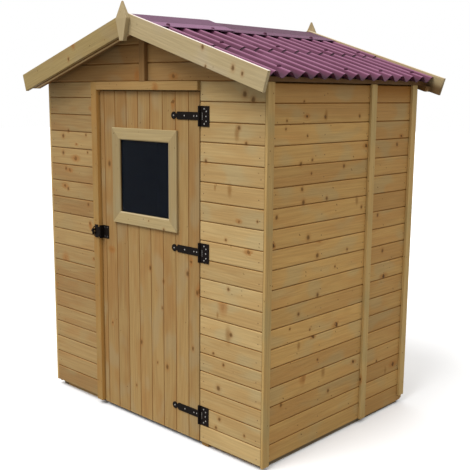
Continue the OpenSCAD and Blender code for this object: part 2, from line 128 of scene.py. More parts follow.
@dataclass
class Graph:
    """Node tree of a material or of the world, with short ways to add its nodes."""

    owner: bpy.types.Material | bpy.types.World

    def __post_init__(self) -> None:
        """Empties the tree."""
        self.owner.use_nodes = True
        self.tree = self.owner.node_tree
        self.tree.nodes.clear()

    @classmethod
    def of_material(cls, name: str) -> Graph:
        """Starts the tree of a new material."""
        return cls(bpy.data.materials.new(name))

    def add(self, kind: str, inputs: dict | None = None, **settings: object) -> bpy.types.Node:
        """Adds a node.

        Args:
            kind: Blender's name of the node.
            inputs: Values or sockets by input name or number.
            **settings: Properties of the node.

        Returns:
            The new node.
        """
        node = self.tree.nodes.new(kind)
        for key, value in settings.items():
            setattr(node, key, value)
        for key, value in (inputs or {}).items():
            if isinstance(value, bpy.types.NodeSocket):
                self.tree.links.new(value, node.inputs[key])
            elif isinstance(value, tuple) and len(value) == 3 and node.inputs[key].type == "RGBA":
                node.inputs[key].default_value = (*value, 1.0)
            else:
                node.inputs[key].default_value = value
        return node

    def math(self, operation: str, first: object, second: object = 0.0) -> bpy.types.NodeSocket:
        """Adds one step of arithmetic and gives its result."""
        return self.add("ShaderNodeMath", {0: first, 1: second}, operation=operation).outputs[0]

    def times(self, first: object, second: object) -> bpy.types.NodeSocket:
        """Multiplies two values."""
        return self.math("MULTIPLY", first, second)

    def place(self) -> bpy.types.NodeSocket:
        """Gives the place in the object's own frame."""
        return self.add("ShaderNodeTexCoord").outputs["Object"]

    def ease(self, value: object, low: float, high: float) -> bpy.types.NodeSocket:
        """Maps a value to 0 at low and 1 at high, smoothly between them."""
        inputs = {"Value": value, "From Min": low, "From Max": high}
        return self.add("ShaderNodeMapRange", inputs, interpolation_type="SMOOTHSTEP").outputs[0]

    def spread(self, value: object, low: float, high: float) -> bpy.types.NodeSocket:
        """Maps a value from 0 to 1 to the range from low to high."""
        inputs = {"Value": value, "To Min": low, "To Max": high}
        return self.add("ShaderNodeMapRange", inputs).outputs[0]

    def blend(self, share: object, first: object, second: object,
              way: str = "MIX") -> bpy.types.NodeSocket:
        """Mixes two colours by a share."""
        inputs = {0: share, 6: first, 7: second}
        return self.add("ShaderNodeMix", inputs, data_type="RGBA", blend_type=way).outputs[2]

    def noise(self, place: object, scale: float, detail: float,
              way: str = "3D") -> bpy.types.NodeSocket:
        """Adds soft noise at a place and gives its value."""
        inputs = {"Vector": place, "Scale": scale, "Detail": detail}
        return self.add("ShaderNodeTexNoise", inputs, noise_dimensions=way).outputs["Fac"]

    def plane(self, first: object, second: object) -> bpy.types.NodeSocket:
        """Joins two values into a place."""
        return self.add("ShaderNodeCombineXYZ", {0: first, 1: second}).outputs[0]

    def finish(self, inputs: dict, height: bpy.types.NodeSocket, depth: float) -> bpy.types.Material:
        """Closes the tree with a shader and a bump.

        Args:
            inputs: Values and sockets of the shader.
            height: Relief of the surface, from 0 to 1.
            depth: Depth of that relief.

        Returns:
            The finished material.
        """
        bump = self.add("ShaderNodeBump", {"Height": height, "Strength": 1.0, "Distance": depth})
        shader = self.add("ShaderNodeBsdfPrincipled", {**inputs, "Normal": bump.outputs[0]})
        self.add("ShaderNodeOutputMaterial", {"Surface": shader.outputs[0]})
        return self.owner


@dataclass(frozen=True)
class Knot:
    """A knot at a known place: its centre, and its half sizes along X, Y and Z."""

    centre: Vector
    half: Vector


def knots_on(axis: int, level: float, places: tuple[tuple[float, ...], ...],
             tall: float = 1.1) -> tuple[Knot, ...]:
    """Gives the knots on one upright face.

    Args:
        axis: 0 for a face square to X, 1 for one square to Y.
        level: Place of the face along that axis.
        places: Place along the face, height and half size of each knot.
        tall: Height of a knot over its width.

    Returns:
        The knots.
    """
    return tuple(Knot((level, along, high) if axis == 0 else (along, level, high),
                      (size, size, size * tall)) for along, high, size in places)


class Figure(Enum):
    """Patterns in the wood: waves per metre along and across the grain, and detail."""

    RINGS = (0.55, 8.0, 1.2)
    FIBRE = (9.0, 520.0, 2.0)
    BLOTCH = (2.6, 11.0, 2.0)
    PATCH = (4.5, 8.0, 1.0)
    STREAK = (3.0, 130.0, 3.0)

    def draw(self, graph: Graph, along: object, across: object) -> bpy.types.NodeSocket:
        """Adds the pattern as soft noise that is stretched along the grain.

        Args:
            graph: Tree that takes the nodes.
            along: Place along the grain.
            across: Place across the grain.

        Returns:
            The value of the pattern, from 0 to 1.
        """
        first, second, detail = self.value
        place = graph.plane(graph.times(along, first), graph.times(across, second))
        return graph.noise(place, 1.0, detail, "2D")


@dataclass(frozen=True)
class Pine:
    """Oiled pine: long growth rings, fine fibres and knots that the grain flows around."""

    name: str
    early: Colour
    late: Colour
    warm: Colour
    pale: Colour = linear(166, 146, 98)
    knot: Colour = linear(88, 58, 22)
    spike: Colour = linear(128, 85, 34)
    halo: Colour = linear(156, 98, 40)
    # groove: brown of the grooves; where the tone rises above 1 on whole faces it is painted shade.
    groove: Colour = linear(142, 92, 30)
    # painted_highlight: colour the tone turns to below -1; it paints highlights on lit edges and light
    # into shaded recesses.
    painted_highlight: Colour = linear(226, 218, 204)
    knot_scale: float = 7.5
    knot_sizes: tuple[float, float] = (0.0045, 0.0115)
    knot_share: float = 0.42
    knot_depth: float = 0.85
    knot_wobble: tuple[float, float] = (75.0, 0.014)
    spike_share: float = 0.2
    spike_flat: float = 0.34
    pin_scale: float = 17.0
    pin_share: float = 0.22
    pin_edge: tuple[float, float] = (0.0042, 0.0016)
    bend: float = 0.013
    bend_edge: tuple[float, float] = (0.055, 0.004)
    stir: tuple[float, float] = (110.0, 0.007)
    ring_count: float = 80.0
    contrast: float = 0.22
    patchy: float = 0.7
    rough: float = 0.62
    gloss: float = 0.12
    mild_tone: float = 0.6
    placed: tuple[Knot, ...] = ()
    spikes: tuple[Knot, ...] = ()

    def dress(self, grain: Grain) -> bpy.types.Material:
        """Makes the finish for one direction of the grain.

        The growth rings are level lines of noise that is stretched along the grain. Each knot is
        a cell of a random pattern, and pushes the rings aside around its centre. Some knots are
        cut lengthwise and lie across the board as soft spikes. The tone attribute shades each
        board and also carries painted light: below -1 it turns the wood to the painted highlight
        colour, and above 1 to the groove's brown, which also serves as painted shade.

        Args:
            grain: Direction of the grain, or MAP for pieces with a grain map.

        Returns:
            The material.
        """
        name = f"{self.name}_{grain.name.lower()}"
        known = bpy.data.materials.get(name)
        if known:
            return known
        graph = Graph.of_material(name)
        along, across = self.coordinates(graph, grain)
        tone = graph.add("ShaderNodeAttribute", attribute_name="tone").outputs["Fac"]
        mild = graph.math("MAXIMUM", graph.math("MINIMUM", tone, self.mild_tone), -self.mild_tone)
        core, halo, bent = self.knots(graph, along, across)
        rings = Figure.RINGS.draw(graph, along, bent)
        late = graph.ease(graph.math("SINE", graph.times(rings, self.ring_count)), -0.5, 1.0)
        fibre = Figure.FIBRE.draw(graph, along, across)
        blotch = Figure.BLOTCH.draw(graph, along, bent)
        patch = Figure.PATCH.draw(graph, along, across)
        streak = Figure.STREAK.draw(graph, along, bent)
        # Growth rings, warmer blotches and paler patches.
        colour = graph.blend(graph.times(late, self.contrast), self.early, self.late)
        warm = graph.ease(graph.math("ADD", blotch, graph.times(mild, 0.35)), 0.38, 0.72)
        colour = graph.blend(graph.times(warm, self.patchy), colour, self.warm)
        pale = graph.times(graph.ease(patch, 0.52, 0.72), self.patchy)
        colour = graph.blend(pale, colour, self.pale)
        # Fibres, streaks and the board's own tone as light and dark; the tone also carries painted
        # shade.
        shade = graph.math("ADD", graph.spread(fibre, 0.90, 1.08), graph.times(mild, -0.22))
        shade = graph.times(shade, graph.spread(streak, 0.82, 1.18))
        grey = graph.add("ShaderNodeCombineColor", {0: shade, 1: shade, 2: shade}).outputs[0]
        colour = graph.blend(1.0, colour, grey, "MULTIPLY")
        # Knots, then the groove brown for grooves and painted shade, and the painted highlight.
        marks = [(halo, 0.6, self.halo), (core, self.knot_depth, self.knot)]
        if self.placed or self.spikes:
            near, far = self.nearest(graph, self.placed), self.nearest(graph, self.spikes)
            marks += [(graph.ease(near, 2.6, 0.8), 0.3, self.halo),
                      (graph.ease(far, 1.5, 0.2), 0.6, self.spike),
                      (graph.ease(near, 1.35, 0.35), 0.8, self.knot)]
        marks += [(graph.ease(tone, 0.7, 2.6), 0.9, self.groove),
                  (graph.ease(tone, -1.0, -2.5), 1.0, self.painted_highlight)]
        for share, depth, mark in marks:
            colour = graph.blend(graph.times(share, depth), colour, mark)
        rough = graph.spread(fibre, self.rough - 0.08, self.rough + 0.1)
        relief = graph.math("ADD", graph.times(fibre, 0.6), graph.times(late, 0.4))
        return graph.finish({"Base Color": colour, "Roughness": rough,
                             "Specular IOR Level": self.gloss}, relief, 0.0005)

    def nearest(self, graph: Graph, marks: tuple[Knot, ...]) -> bpy.types.NodeSocket | float:
        """Gives the distance from the nearest of some knots, a little stirred by noise.

        Args:
            graph: Tree that takes the nodes.
            marks: Knots at known places.

        Returns:
            The distance in half sizes of that knot, or a large one where there is no knot.
        """
        scale, reach = self.stir
        place = graph.place()
        stir = graph.add("ShaderNodeTexNoise", {"Vector": place, "Scale": scale, "Detail": 2.0})
        place = graph.add("ShaderNodeVectorMath",
                          {0: stir.outputs["Color"], 1: (reach, reach, reach), 2: place},
                          operation="MULTIPLY_ADD").outputs[0]
        result: bpy.types.NodeSocket | float = 9.0
        for mark in marks:
            sizes = tuple(1.0 / half for half in mark.half)
            shift = tuple(-(middle + reach / 2.0) / half
                          for middle, half in zip(mark.centre, mark.half))
            step = graph.add("ShaderNodeVectorMath", {0: place, 1: sizes, 2: shift},
                             operation="MULTIPLY_ADD").outputs[0]
            away = graph.add("ShaderNodeVectorMath", {0: step}, operation="LENGTH")
            result = graph.math("MINIMUM", away.outputs["Value"], result)
        return result

    def knots(self, graph: Graph, along: object, across: object) -> tuple[bpy.types.NodeSocket, ...]:
        """Adds round knots, spikes and pin knots.

        A point's distance from its cell's centre is measured along and across the grain. Across
        counts less for a spike, and along counts less for the stained halo of a knot.

        Args:
            graph: Tree that takes the nodes.
            along: Place along the grain.
            across: Place across the grain.

        Returns:
            The share of the dark core, the share of the halo, and the place across the grain
            with the grain pushed aside around the knots.
        """
        scale, reach = self.knot_wobble
        noise = graph.noise(graph.plane(along, across), scale, 2.0, "2D")
        wobble = graph.times(graph.math("SUBTRACT", noise, 0.5), reach)
        uneven = graph.plane(graph.math("ADD", along, wobble), graph.math("SUBTRACT", across, wobble))
        cells, pins = (graph.add("ShaderNodeTexVoronoi", {"Vector": uneven, "Scale": size},
                                 voronoi_dimensions="2D", feature="F1").outputs
                       for size in (self.knot_scale, self.pin_scale))
        chance = graph.add("ShaderNodeSeparateColor", {0: cells["Color"]}).outputs
        present = graph.math("GREATER_THAN", chance[0], 1.0 - self.knot_share)
        spike = graph.math("GREATER_THAN", chance[2], 1.0 - self.spike_share)
        size = graph.spread(chance[1], *self.knot_sizes)
        offset = graph.add("ShaderNodeVectorMath", {0: uneven, 1: cells["Position"]},
                           operation="SUBTRACT").outputs[0]
        parts = graph.add("ShaderNodeSeparateXYZ", {0: offset}).outputs
        flat = graph.times(parts[1], graph.spread(spike, 1.0, self.spike_flat))
        ratio = graph.math("DIVIDE", self.length(graph, parts[0], flat), size)
        stain = graph.math("DIVIDE", self.length(graph, graph.times(parts[0], 0.5), flat), size)
        solid = graph.times(present, graph.spread(spike, 1.0, 0.25))
        core = graph.times(solid, graph.ease(ratio, 1.2, 0.75))
        halo = graph.times(present, graph.ease(stain, 2.6, 0.6))
        draw = graph.add("ShaderNodeSeparateColor", {0: pins["Color"]}).outputs[0]
        picked = graph.math("GREATER_THAN", draw, 1.0 - self.pin_share)
        near_pin = graph.math("DIVIDE", pins["Distance"], self.pin_scale)
        dot = graph.times(picked, graph.ease(near_pin, *self.pin_edge))
        away = self.length(graph, parts[0], parts[1])
        near = graph.times(present, graph.ease(away, *self.bend_edge))
        push = graph.times(near, graph.math("DIVIDE", parts[1], graph.math("ADD", away, 0.006)))
        bent = graph.math("SUBTRACT", across, graph.times(push, self.bend))
        return graph.math("MAXIMUM", core, graph.times(dot, 0.8)), halo, bent

    def length(self, graph: Graph, first: object, second: object) -> bpy.types.NodeSocket:
        """Gives the length of a step along and across the grain."""
        squares = graph.math("ADD", graph.times(first, first), graph.times(second, second))
        return graph.math("SQRT", squares)

    def coordinates(self, graph: Graph,
                    grain: Grain) -> tuple[bpy.types.NodeSocket, bpy.types.NodeSocket]:
        """Adds the place along and across the grain, in metres.

        Args:
            graph: Tree that takes the nodes.
            grain: Direction of the grain.

        Returns:
            The sockets along and across the grain.
        """
        if grain is Grain.MAP:
            mapped = graph.add("ShaderNodeUVMap", uv_map="grain")
            parts = graph.add("ShaderNodeSeparateXYZ", {0: mapped.outputs[0]})
            return parts.outputs[0], parts.outputs[1]
        place = graph.place()
        ahead = np.array(grain.value)
        helper = np.array(Grain.X.value if grain is Grain.Y else Grain.Y.value)
        sideways = helper + np.cross(ahead, helper)
        along, across = (graph.add("ShaderNodeVectorMath", {0: place, 1: tuple(axis.tolist())},
                                   operation="DOT_PRODUCT").outputs["Value"]
                         for axis in (ahead, sideways))
        return along, across


@dataclass(frozen=True)
class Roofing:
    """Matt fibrous roofing with a fine grit."""

    name: str
    gloss: float

    def close(self, graph: Graph, colour: bpy.types.NodeSocket,
              cloud: bpy.types.NodeSocket) -> bpy.types.Material:
        """Closes a tree with the grit that both kinds of roofing share.

        Args:
            graph: Tree of the finish.
            colour: Colour of the sheet.
            cloud: Broad unevenness of the sheet, from 0 to 1.

        Returns:
            The finished material.
        """
        grit = graph.noise(graph.place(), 700.0, 2.0)
        relief = graph.math("ADD", grit, graph.times(cloud, 0.5))
        return graph.finish({"Base Color": colour, "Roughness": graph.spread(grit, 0.55, 0.8),
                             "Specular IOR Level": self.gloss}, relief, 0.0004)


@dataclass(frozen=True)
class WaveSheet(Roofing):
    """Corrugated roofing with crests lighter by dust and a painted highlight, and valleys darkened by
    painted shade.
    """

    name: str = "bitumen_sheet"
    gloss: float = 0.25
    # crest: dust and a painted highlight on the crests, also the tint of broad unevenness; valley:
    # painted shade.
    base: Colour = linear(80, 31, 56)
    crest: Colour = linear(152, 100, 128)
    valley: Colour = linear(46, 15, 30)
    streaks: Vector = (3.0, 40.0, 3.0)

    def dress(self) -> bpy.types.Material:
        """Makes the finish, which reads the height of the wave from the piece's own attribute."""
        graph = Graph.of_material(self.name)
        place = graph.place()
        height = graph.add("ShaderNodeAttribute", attribute_name="crest").outputs["Fac"]
        streak_place = graph.add("ShaderNodeVectorMath", {0: place, 1: self.streaks},
                                 operation="MULTIPLY").outputs[0]
        streak = graph.noise(streak_place, 1.0, 3.0)
        cloud = graph.noise(place, 6.0, 3.0)
        # Painted shade deepens into the valleys.
        colour = graph.blend(graph.ease(height, 0.7, 0.1), self.base, self.valley)
        # Dust and a painted highlight along the crests, broken by streaks.
        dust_and_highlight = graph.times(graph.ease(height, 0.78, 1.0), graph.spread(streak, 0.55, 1.0))
        colour = graph.blend(dust_and_highlight, colour, self.crest)
        colour = graph.blend(graph.times(graph.ease(cloud, 0.42, 0.7), 0.15), colour, self.crest)
        return self.close(graph, colour, cloud)


@dataclass(frozen=True)
class RidgeSheet(Roofing):
    """The same roofing folded over the ridge, with a paler flange along each lower edge."""

    name: str = "ridge_sheet"
    gloss: float = 0.3
    wing: Colour = linear(101, 63, 88)
    flange: Colour = linear(130, 89, 117)
    crease_shade: Colour = linear(62, 30, 50)
    stain: Colour = linear(78, 42, 68)
    crease: float = 0.128

    def dress(self) -> bpy.types.Material:
        """Makes the finish, which reads the place across the ridge from the object's own frame."""
        graph = Graph.of_material(self.name)
        place = graph.place()
        across = graph.math("ABSOLUTE", graph.add("ShaderNodeSeparateXYZ", {0: place}).outputs[0])
        cloud = graph.noise(place, 7.0, 3.0)
        beyond = graph.ease(across, self.crease, self.crease + 0.008)
        colour = graph.blend(beyond, self.wing, self.flange)
        # Painted shade along the crease between wing and flange.
        crease_shade = graph.times(graph.ease(across, self.crease - 0.012, self.crease),
                           graph.ease(across, self.crease + 0.006, self.crease))
        colour = graph.blend(graph.times(crease_shade, 0.5), colour, self.crease_shade)
        colour = graph.blend(graph.spread(cloud, 0.0, 0.3), colour, self.stain)
        return self.close(graph, colour, cloud)


@dataclass(frozen=True)
class CoatedSteel:
    """Thin coating on steel, with a faint orange peel and worn lighter specks."""

    name: str
    base: Colour
    worn: Colour
    metallic: float
    rough: float
    gloss: float = 0.5

    def dress(self) -> bpy.types.Material:
        """Makes the finish."""
        graph = Graph.of_material(self.name)
        place = graph.place()
        peel = graph.noise(place, 900.0, 2.0)
        wear = graph.noise(place, 130.0, 4.0)
        bare = graph.times(graph.ease(wear, 0.58, 0.75), 0.6)
        rough = graph.spread(wear, self.rough - 0.1, self.rough + 0.12)
        return graph.finish({"Base Color": graph.blend(bare, self.base, self.worn), "Roughness": rough,
                             "Metallic": self.metallic, "Specular IOR Level": self.gloss},
                            peel, 0.0001)


@dataclass(frozen=True)
class DarkGlass:
    """Clear pane that looks nearly black in front of the dark room.

    Its dark tint is partly the glass's own and partly painted shade for the dark room.
    """

    name: str = "window_glass"
    tint_and_painted_shade: Colour = linear(78, 90, 110)

    def dress(self) -> bpy.types.Material:
        """Makes the finish, with a slight waviness of the pane."""
        graph = Graph.of_material(self.name)
        place = graph.place()
        wave = graph.noise(place, 7.0, 1.0)
        smear = graph.noise(place, 24.0, 4.0)
        return graph.finish({"Base Color": self.tint_and_painted_shade, "Roughness": graph.spread(smear, 0.02, 0.07),
                             "Transmission Weight": 0.95, "IOR": 1.08}, wave, 0.0006)


FRONT = Pine("front_pine", linear(186, 158, 108), linear(166, 133, 83), linear(178, 143, 91),
             pale=linear(178, 157, 113), knot_share=0.3, knot_depth=0.6, spike_share=0.55,
             pin_share=0.12)
# Darker copy of the front pine for the panel left of the door: painted shade.
SHADY = Pine("left_front_pine", linear(162, 134, 88), linear(141, 107, 66), linear(154, 116, 70),
             pale=linear(157, 133, 90), knot_share=0.3, knot_depth=0.6, spike_share=0.4,
             pin_share=0.12)
SIDE = Pine("side_pine", linear(190, 151, 90), linear(168, 126, 70), linear(182, 128, 70),
            pale=linear(176, 151, 102), knot=linear(86, 56, 20), knot_share=0.5, knot_depth=0.95,
            pin_share=0.35, spike_share=0.1)
DOOR = Pine("door_pine", linear(165, 134, 85), linear(142, 108, 62), linear(154, 113, 64),
            pale=linear(160, 136, 96), knot_share=0.3, knot_depth=0.7)
TRIM = Pine("trim_pine", linear(188, 157, 101), linear(169, 133, 77), linear(180, 142, 84),
            knot_share=0.15, patchy=0.5)
JAMB = Pine("jamb_pine", linear(166, 131, 76), linear(148, 111, 60), linear(158, 115, 61),
            pale=linear(154, 128, 81), painted_highlight=linear(197, 150, 83), knot_share=0.15, patchy=0.5)
HEADER = replace(JAMB, name="header_pine", early=linear(168, 135, 84), late=linear(150, 115, 66),
                 warm=linear(160, 122, 72))
BARGE = Pine("barge_pine", linear(175, 157, 119), linear(165, 145, 108), linear(169, 147, 108),
             pale=linear(173, 158, 132), knot_share=0.3, pin_share=0.3, patchy=0.5)
DULL_BARGE = Pine("left_barge_pine", linear(155, 134, 88), linear(141, 118, 76), linear(149, 122, 78),
                  pale=linear(151, 133, 98), knot_share=0.05, patchy=0.5,
                  placed=knots_on(1, -0.692, ((-0.455, 1.840, 0.007),), 1.4))
# Darker pine for the rafters and the gable batten: partly rough sawn timber, partly painted shade.
RAFTER = Pine("rafter_pine", linear(132, 100, 60), linear(112, 80, 44), linear(122, 86, 46),
              pale=linear(126, 98, 64), knot_share=0.2, rough=0.74)
# Darker copy of the rafter pine for the purlins: painted shade under the sheets.
SHADED_PURLIN = replace(RAFTER, name="purlin_pine_painted_shade", early=linear(106, 78, 46), late=linear(90, 62, 34),
                 warm=linear(98, 68, 36))
# Verge rafters: the groove colour paints shade and the highlight colour a lit strip on the underside.
VERGE = replace(RAFTER, name="verge_pine", groove=linear(104, 76, 40),
                painted_highlight=linear(210, 188, 142))
# Darker pine for the gables: painted shade under the bargeboards' overhang.
SHADED_GABLE = Pine("gable_pine_painted_shade", linear(160, 125, 77), linear(136, 100, 55), linear(151, 110, 61),
             pale=linear(152, 124, 83), knot_share=0.12, knot_depth=0.6)
WINDOW = Pine("window_pine", linear(168, 148, 106), linear(153, 130, 88), linear(162, 137, 94),
              pale=linear(166, 150, 114), knot_share=0.12, patchy=0.5,
              placed=knots_on(1, -0.600, ((0.157, 1.029, 0.007), (0.047, 1.059, 0.004)), 1.0))
SAWN = Pine("sawn_pine", linear(186, 154, 104), linear(160, 124, 76), linear(174, 134, 86),
            knot_share=0.3, contrast=0.35, rough=0.74)
SOLE = Pine("weathered_sole", linear(126, 112, 88), linear(96, 82, 62), linear(110, 92, 68),
            pale=linear(130, 118, 98), rough=0.8)
SEEN_FRONT = replace(
    FRONT, name="front_right_pine", knot_share=0.06, pin_share=0.06,
    placed=knots_on(1, -0.588, ((0.667, 1.673, 0.013), (0.715, 1.651, 0.012), (0.635, 1.530, 0.010),
                                (0.678, 1.466, 0.008), (0.432, 1.375, 0.009), (0.748, 1.136, 0.006),
                                (0.560, 1.031, 0.007), (0.578, 0.808, 0.008), (0.596, 0.598, 0.010),
                                (0.484, 0.485, 0.007), (0.550, 0.444, 0.008), (0.518, 0.323, 0.012),
                                (0.525, 0.172, 0.009), (0.503, 0.124, 0.008), (0.685, 0.140, 0.007))),
    spikes=knots_on(1, -0.588, ((0.622, 1.505, 0.014), (0.581, 1.257, 0.013), (0.491, 1.262, 0.007),
                                (0.578, 0.592, 0.018), (0.510, 0.674, 0.007)), 2.4))
SEEN_SIDE = replace(
    SIDE, name="right_side_pine", warm=linear(181, 135, 77), knot_share=0.1, pin_share=0.14,
    patchy=0.6,
    placed=knots_on(0, 0.784, ((-0.331, 1.644, 0.006), (-0.176, 1.574, 0.009), (0.093, 1.575, 0.008),
                               (-0.447, 1.563, 0.006), (-0.453, 1.527, 0.006), (-0.303, 1.493, 0.006),
                               (-0.345, 1.371, 0.009), (-0.264, 1.385, 0.007), (-0.021, 1.343, 0.009),
                               (-0.268, 1.324, 0.006), (-0.332, 1.258, 0.009), (-0.321, 1.198, 0.011),
                               (-0.149, 1.201, 0.009), (0.136, 1.133, 0.008), (-0.504, 1.149, 0.009),
                               (-0.280, 1.033, 0.012), (0.435, 1.427, 0.010), (0.282, 1.078, 0.009),
                               (0.027, 0.936, 0.007), (-0.208, 0.939, 0.011), (0.340, 0.886, 0.010),
                               (-0.067, 0.865, 0.006), (-0.199, 0.749, 0.010), (-0.338, 0.684, 0.009),
                               (-0.398, 0.626, 0.006), (-0.250, 0.592, 0.006), (-0.185, 0.428, 0.007),
                               (-0.093, 0.248, 0.009), (-0.450, 0.277, 0.009), (0.327, 0.296, 0.007))),
    spikes=knots_on(0, 0.784, ((-0.331, 0.530, 0.011), (-0.138, 0.355, 0.015), (0.095, 1.170, 0.012),
                               (-0.170, 1.585, 0.012), (0.416, 0.220, 0.010)), 1.9))
SEEN_LEFT = replace(
    SHADY, name="front_left_pine", knot_share=0.06, pin_share=0.08,
    placed=knots_on(1, -0.588, ((-0.623, 1.471, 0.009), (-0.466, 1.455, 0.007), (-0.671, 1.442, 0.011),
                                (-0.675, 1.351, 0.011), (-0.455, 1.364, 0.006), (-0.653, 1.267, 0.009),
                                (-0.638, 1.158, 0.009), (-0.459, 1.087, 0.009), (-0.448, 0.987, 0.008))))
SEEN_DOOR = replace(
    DOOR, knot_share=0.05, pin_share=0.08,
    placed=knots_on(1, -0.590, ((-0.270, 1.318, 0.011), (0.041, 0.821, 0.009), (0.310, 0.836, 0.010),
                                (0.140, 0.769, 0.007), (0.377, 0.755, 0.009), (0.129, 0.634, 0.006),
                                (-0.033, 0.423, 0.009), (0.347, 0.476, 0.008), (0.163, 0.338, 0.010),
                                (0.091, 0.344, 0.006), (-0.077, 0.180, 0.006)), 1.5))
# Its groove colour only paints shade on the rear board's inner face; its highlight colour lights the top
# edges.
SEEN_BARGE = replace(
    BARGE, name="right_barge_pine", knot_share=0.05, pin_share=0.1, groove=linear(92, 68, 40),
    painted_highlight=linear(226, 214, 206),
    placed=knots_on(1, -0.692, ((0.516, 1.869, 0.008), (0.694, 1.779, 0.009), (0.747, 1.755, 0.007),
                                (0.534, 1.786, 0.006)), 1.4))
ROOF = WaveSheet()
RIDGE = RidgeSheet()
REAR_RIDGE = replace(RIDGE, name="rear_ridge_sheet", wing=linear(84, 47, 68),
                     flange=linear(104, 64, 88))
IRON = CoatedSteel("black_ironwork", linear(20, 15, 12), linear(36, 30, 26), 0.0, 0.6, 0.05)
ZINC = CoatedSteel("zinc_screws", linear(150, 146, 140), linear(92, 88, 82), 0.7, 0.42)
BLACKED = CoatedSteel("blacked_screws", linear(66, 60, 58), linear(44, 40, 38), 0.3, 0.5)
NAIL = CoatedSteel("steel_nails", linear(112, 88, 60), linear(80, 56, 34), 0.3, 0.6, 0.2)


@dataclass
class Mesh:
    """Quads gathered for one piece, with the grain map and the tone of each bar."""

    name: str
    verts: list[np.ndarray] = field(default_factory=list)
    quads: list[np.ndarray] = field(default_factory=list)
    grain: list[np.ndarray] = field(default_factory=list)
    tones: list[np.ndarray] = field(default_factory=list)
    smooth: list[np.ndarray] = field(default_factory=list)
    count: int = 0

    def put(self, verts: np.ndarray, quads: np.ndarray, grain: np.ndarray, tones: np.ndarray,
            smooth: bool = False) -> None:
        """Adds vertices and the quads between them.

        Args:
            verts: Places, one row each.
            quads: Rows of four numbers that count from the first new vertex.
            grain: Grain map, one row for each vertex.
            tones: Value of each vertex.
            smooth: Whether the quads are shaded as one curve.
        """
        self.verts.append(verts)
        self.quads.append(quads + self.count)
        self.grain.append(grain)
        self.tones.append(tones)
        self.smooth.append(np.full(len(quads), smooth))
        self.count += len(verts)

    def bars(self, axes: np.ndarray, profile: np.ndarray, start: np.ndarray, stop: np.ndarray,
             shift: np.ndarray, tones: np.ndarray, ease: float = 0.0,
             origin: Vector = (0.0, 0.0, 0.0)) -> None:
        """Carries closed profiles along straight paths, with a cap on both ends.

        A point of bar b lies at its place along the path, from start to stop, plus its profile
        point on the other two axes. Each profile point has its own start and stop, so the ends
        may be cut at any angle. With ease, the last ring at both ends is drawn in by that much.

        Args:
            axes: Rows of a right-handed basis: along the path, then the profile's two axes.
            profile: Outlines, counter-clockwise, as bars by points by 2.
            start: First place along the path, as bars by points.
            stop: Last place along the path, as bars by points.
            shift: Offset of the grain map, as bars by 2.
            tones: Tone of each bar, of each bar's points, or of each ring's points.
            ease: Size of the eased end edges.
            origin: Place from which the paths are measured.
        """
        bars, points = profile.shape[:2]
        if ease > 0.0:
            low = profile.min(axis=1, keepdims=True) + ease
            high = profile.max(axis=1, keepdims=True) - ease
            inner = np.clip(profile, low, high)
            rings = np.stack([inner, profile, profile, inner], axis=1)
            along = np.stack([start, start + ease, stop - ease, stop], axis=1)
        else:
            rings = np.stack([profile, profile], axis=1)
            along = np.stack([start, stop], axis=1)
        local = np.concatenate([along[..., None], rings], axis=-1)
        ids = np.arange(local[..., 0].size).reshape(local.shape[:3])
        after = np.roll(ids, -1, axis=2)
        sides = np.stack([ids[:, :-1], after[:, :-1], after[:, 1:], ids[:, 1:]], axis=-1)
        cap = self.cap(points)
        quads = np.concatenate([sides.reshape(-1, 4), ids[:, -1][:, cap].reshape(-1, 4),
                                ids[:, 0][:, cap[:, ::-1]].reshape(-1, 4)])
        grain = np.stack([along + shift[:, None, None, 0],
                          local[..., 1] + local[..., 2] + shift[:, None, None, 1]], axis=-1)
        rows = tones if tones.ndim == 3 else tones.reshape(bars, 1, -1)
        self.put((local @ axes).reshape(-1, 3) + np.array(origin), quads, grain.reshape(-1, 2),
                 np.broadcast_to(rows, ids.shape).reshape(-1))

    def domes(self, centres: np.ndarray, axes: np.ndarray, radius: float, height: float,
              tone: float = 0.0) -> None:
        """Adds round heads, each a stack of three rings that draws in towards its top.

        Args:
            centres: Places on the surface, one row each.
            axes: Rows of a basis whose first axis points out of the surface.
            radius: Radius at the surface.
            height: Height of the head.
            tone: Tone of the heads.
        """
        turn = np.linspace(0.0, 2.0 * math.pi, HEAD_SIDES, endpoint=False)
        circle = np.stack([np.zeros(HEAD_SIDES), np.cos(turn), np.sin(turn)], axis=1)
        levels = np.array([(-0.3, 1.0), (0.55, 0.94), (0.9, 0.72), (1.0, 0.4)])
        rings = circle[None] * np.array([1.0, radius, radius]) * levels[:, 1, None, None]
        rings[..., 0] = levels[:, 0, None] * height
        verts = centres[:, None, None, :] + (rings @ axes)[None]
        ids = np.arange(verts[..., 0].size).reshape(verts.shape[:3])
        after = np.roll(ids, -1, axis=2)
        sides = np.stack([ids[:, :-1], after[:, :-1], after[:, 1:], ids[:, 1:]], axis=-1)
        cap = self.cap(HEAD_SIDES)
        quads = np.concatenate([sides.reshape(-1, 4), ids[:, -1][:, cap].reshape(-1, 4)])
        flat = verts.reshape(-1, 3)
        self.put(flat, quads, flat[:, :2], np.full(len(flat), tone), smooth=True)

    @staticmethod
    def cap(points: int) -> np.ndarray:
        """Gives the quads that close an outline with an even number of points."""
        step = np.arange(points // 2 - 1)
        return np.stack([step, step + 1, points - 2 - step, points - 1 - step], axis=-1)

    def shade(self, heights: np.ndarray, levels: np.ndarray) -> None:
        """Adds a tone that follows the height, in straight lines between the given levels; the walls and
        the door use it for painted shade.
        """
        self.tones = [tone + np.interp(verts[:, 2], heights, levels)
                      for verts, tone in zip(self.verts, self.tones)]

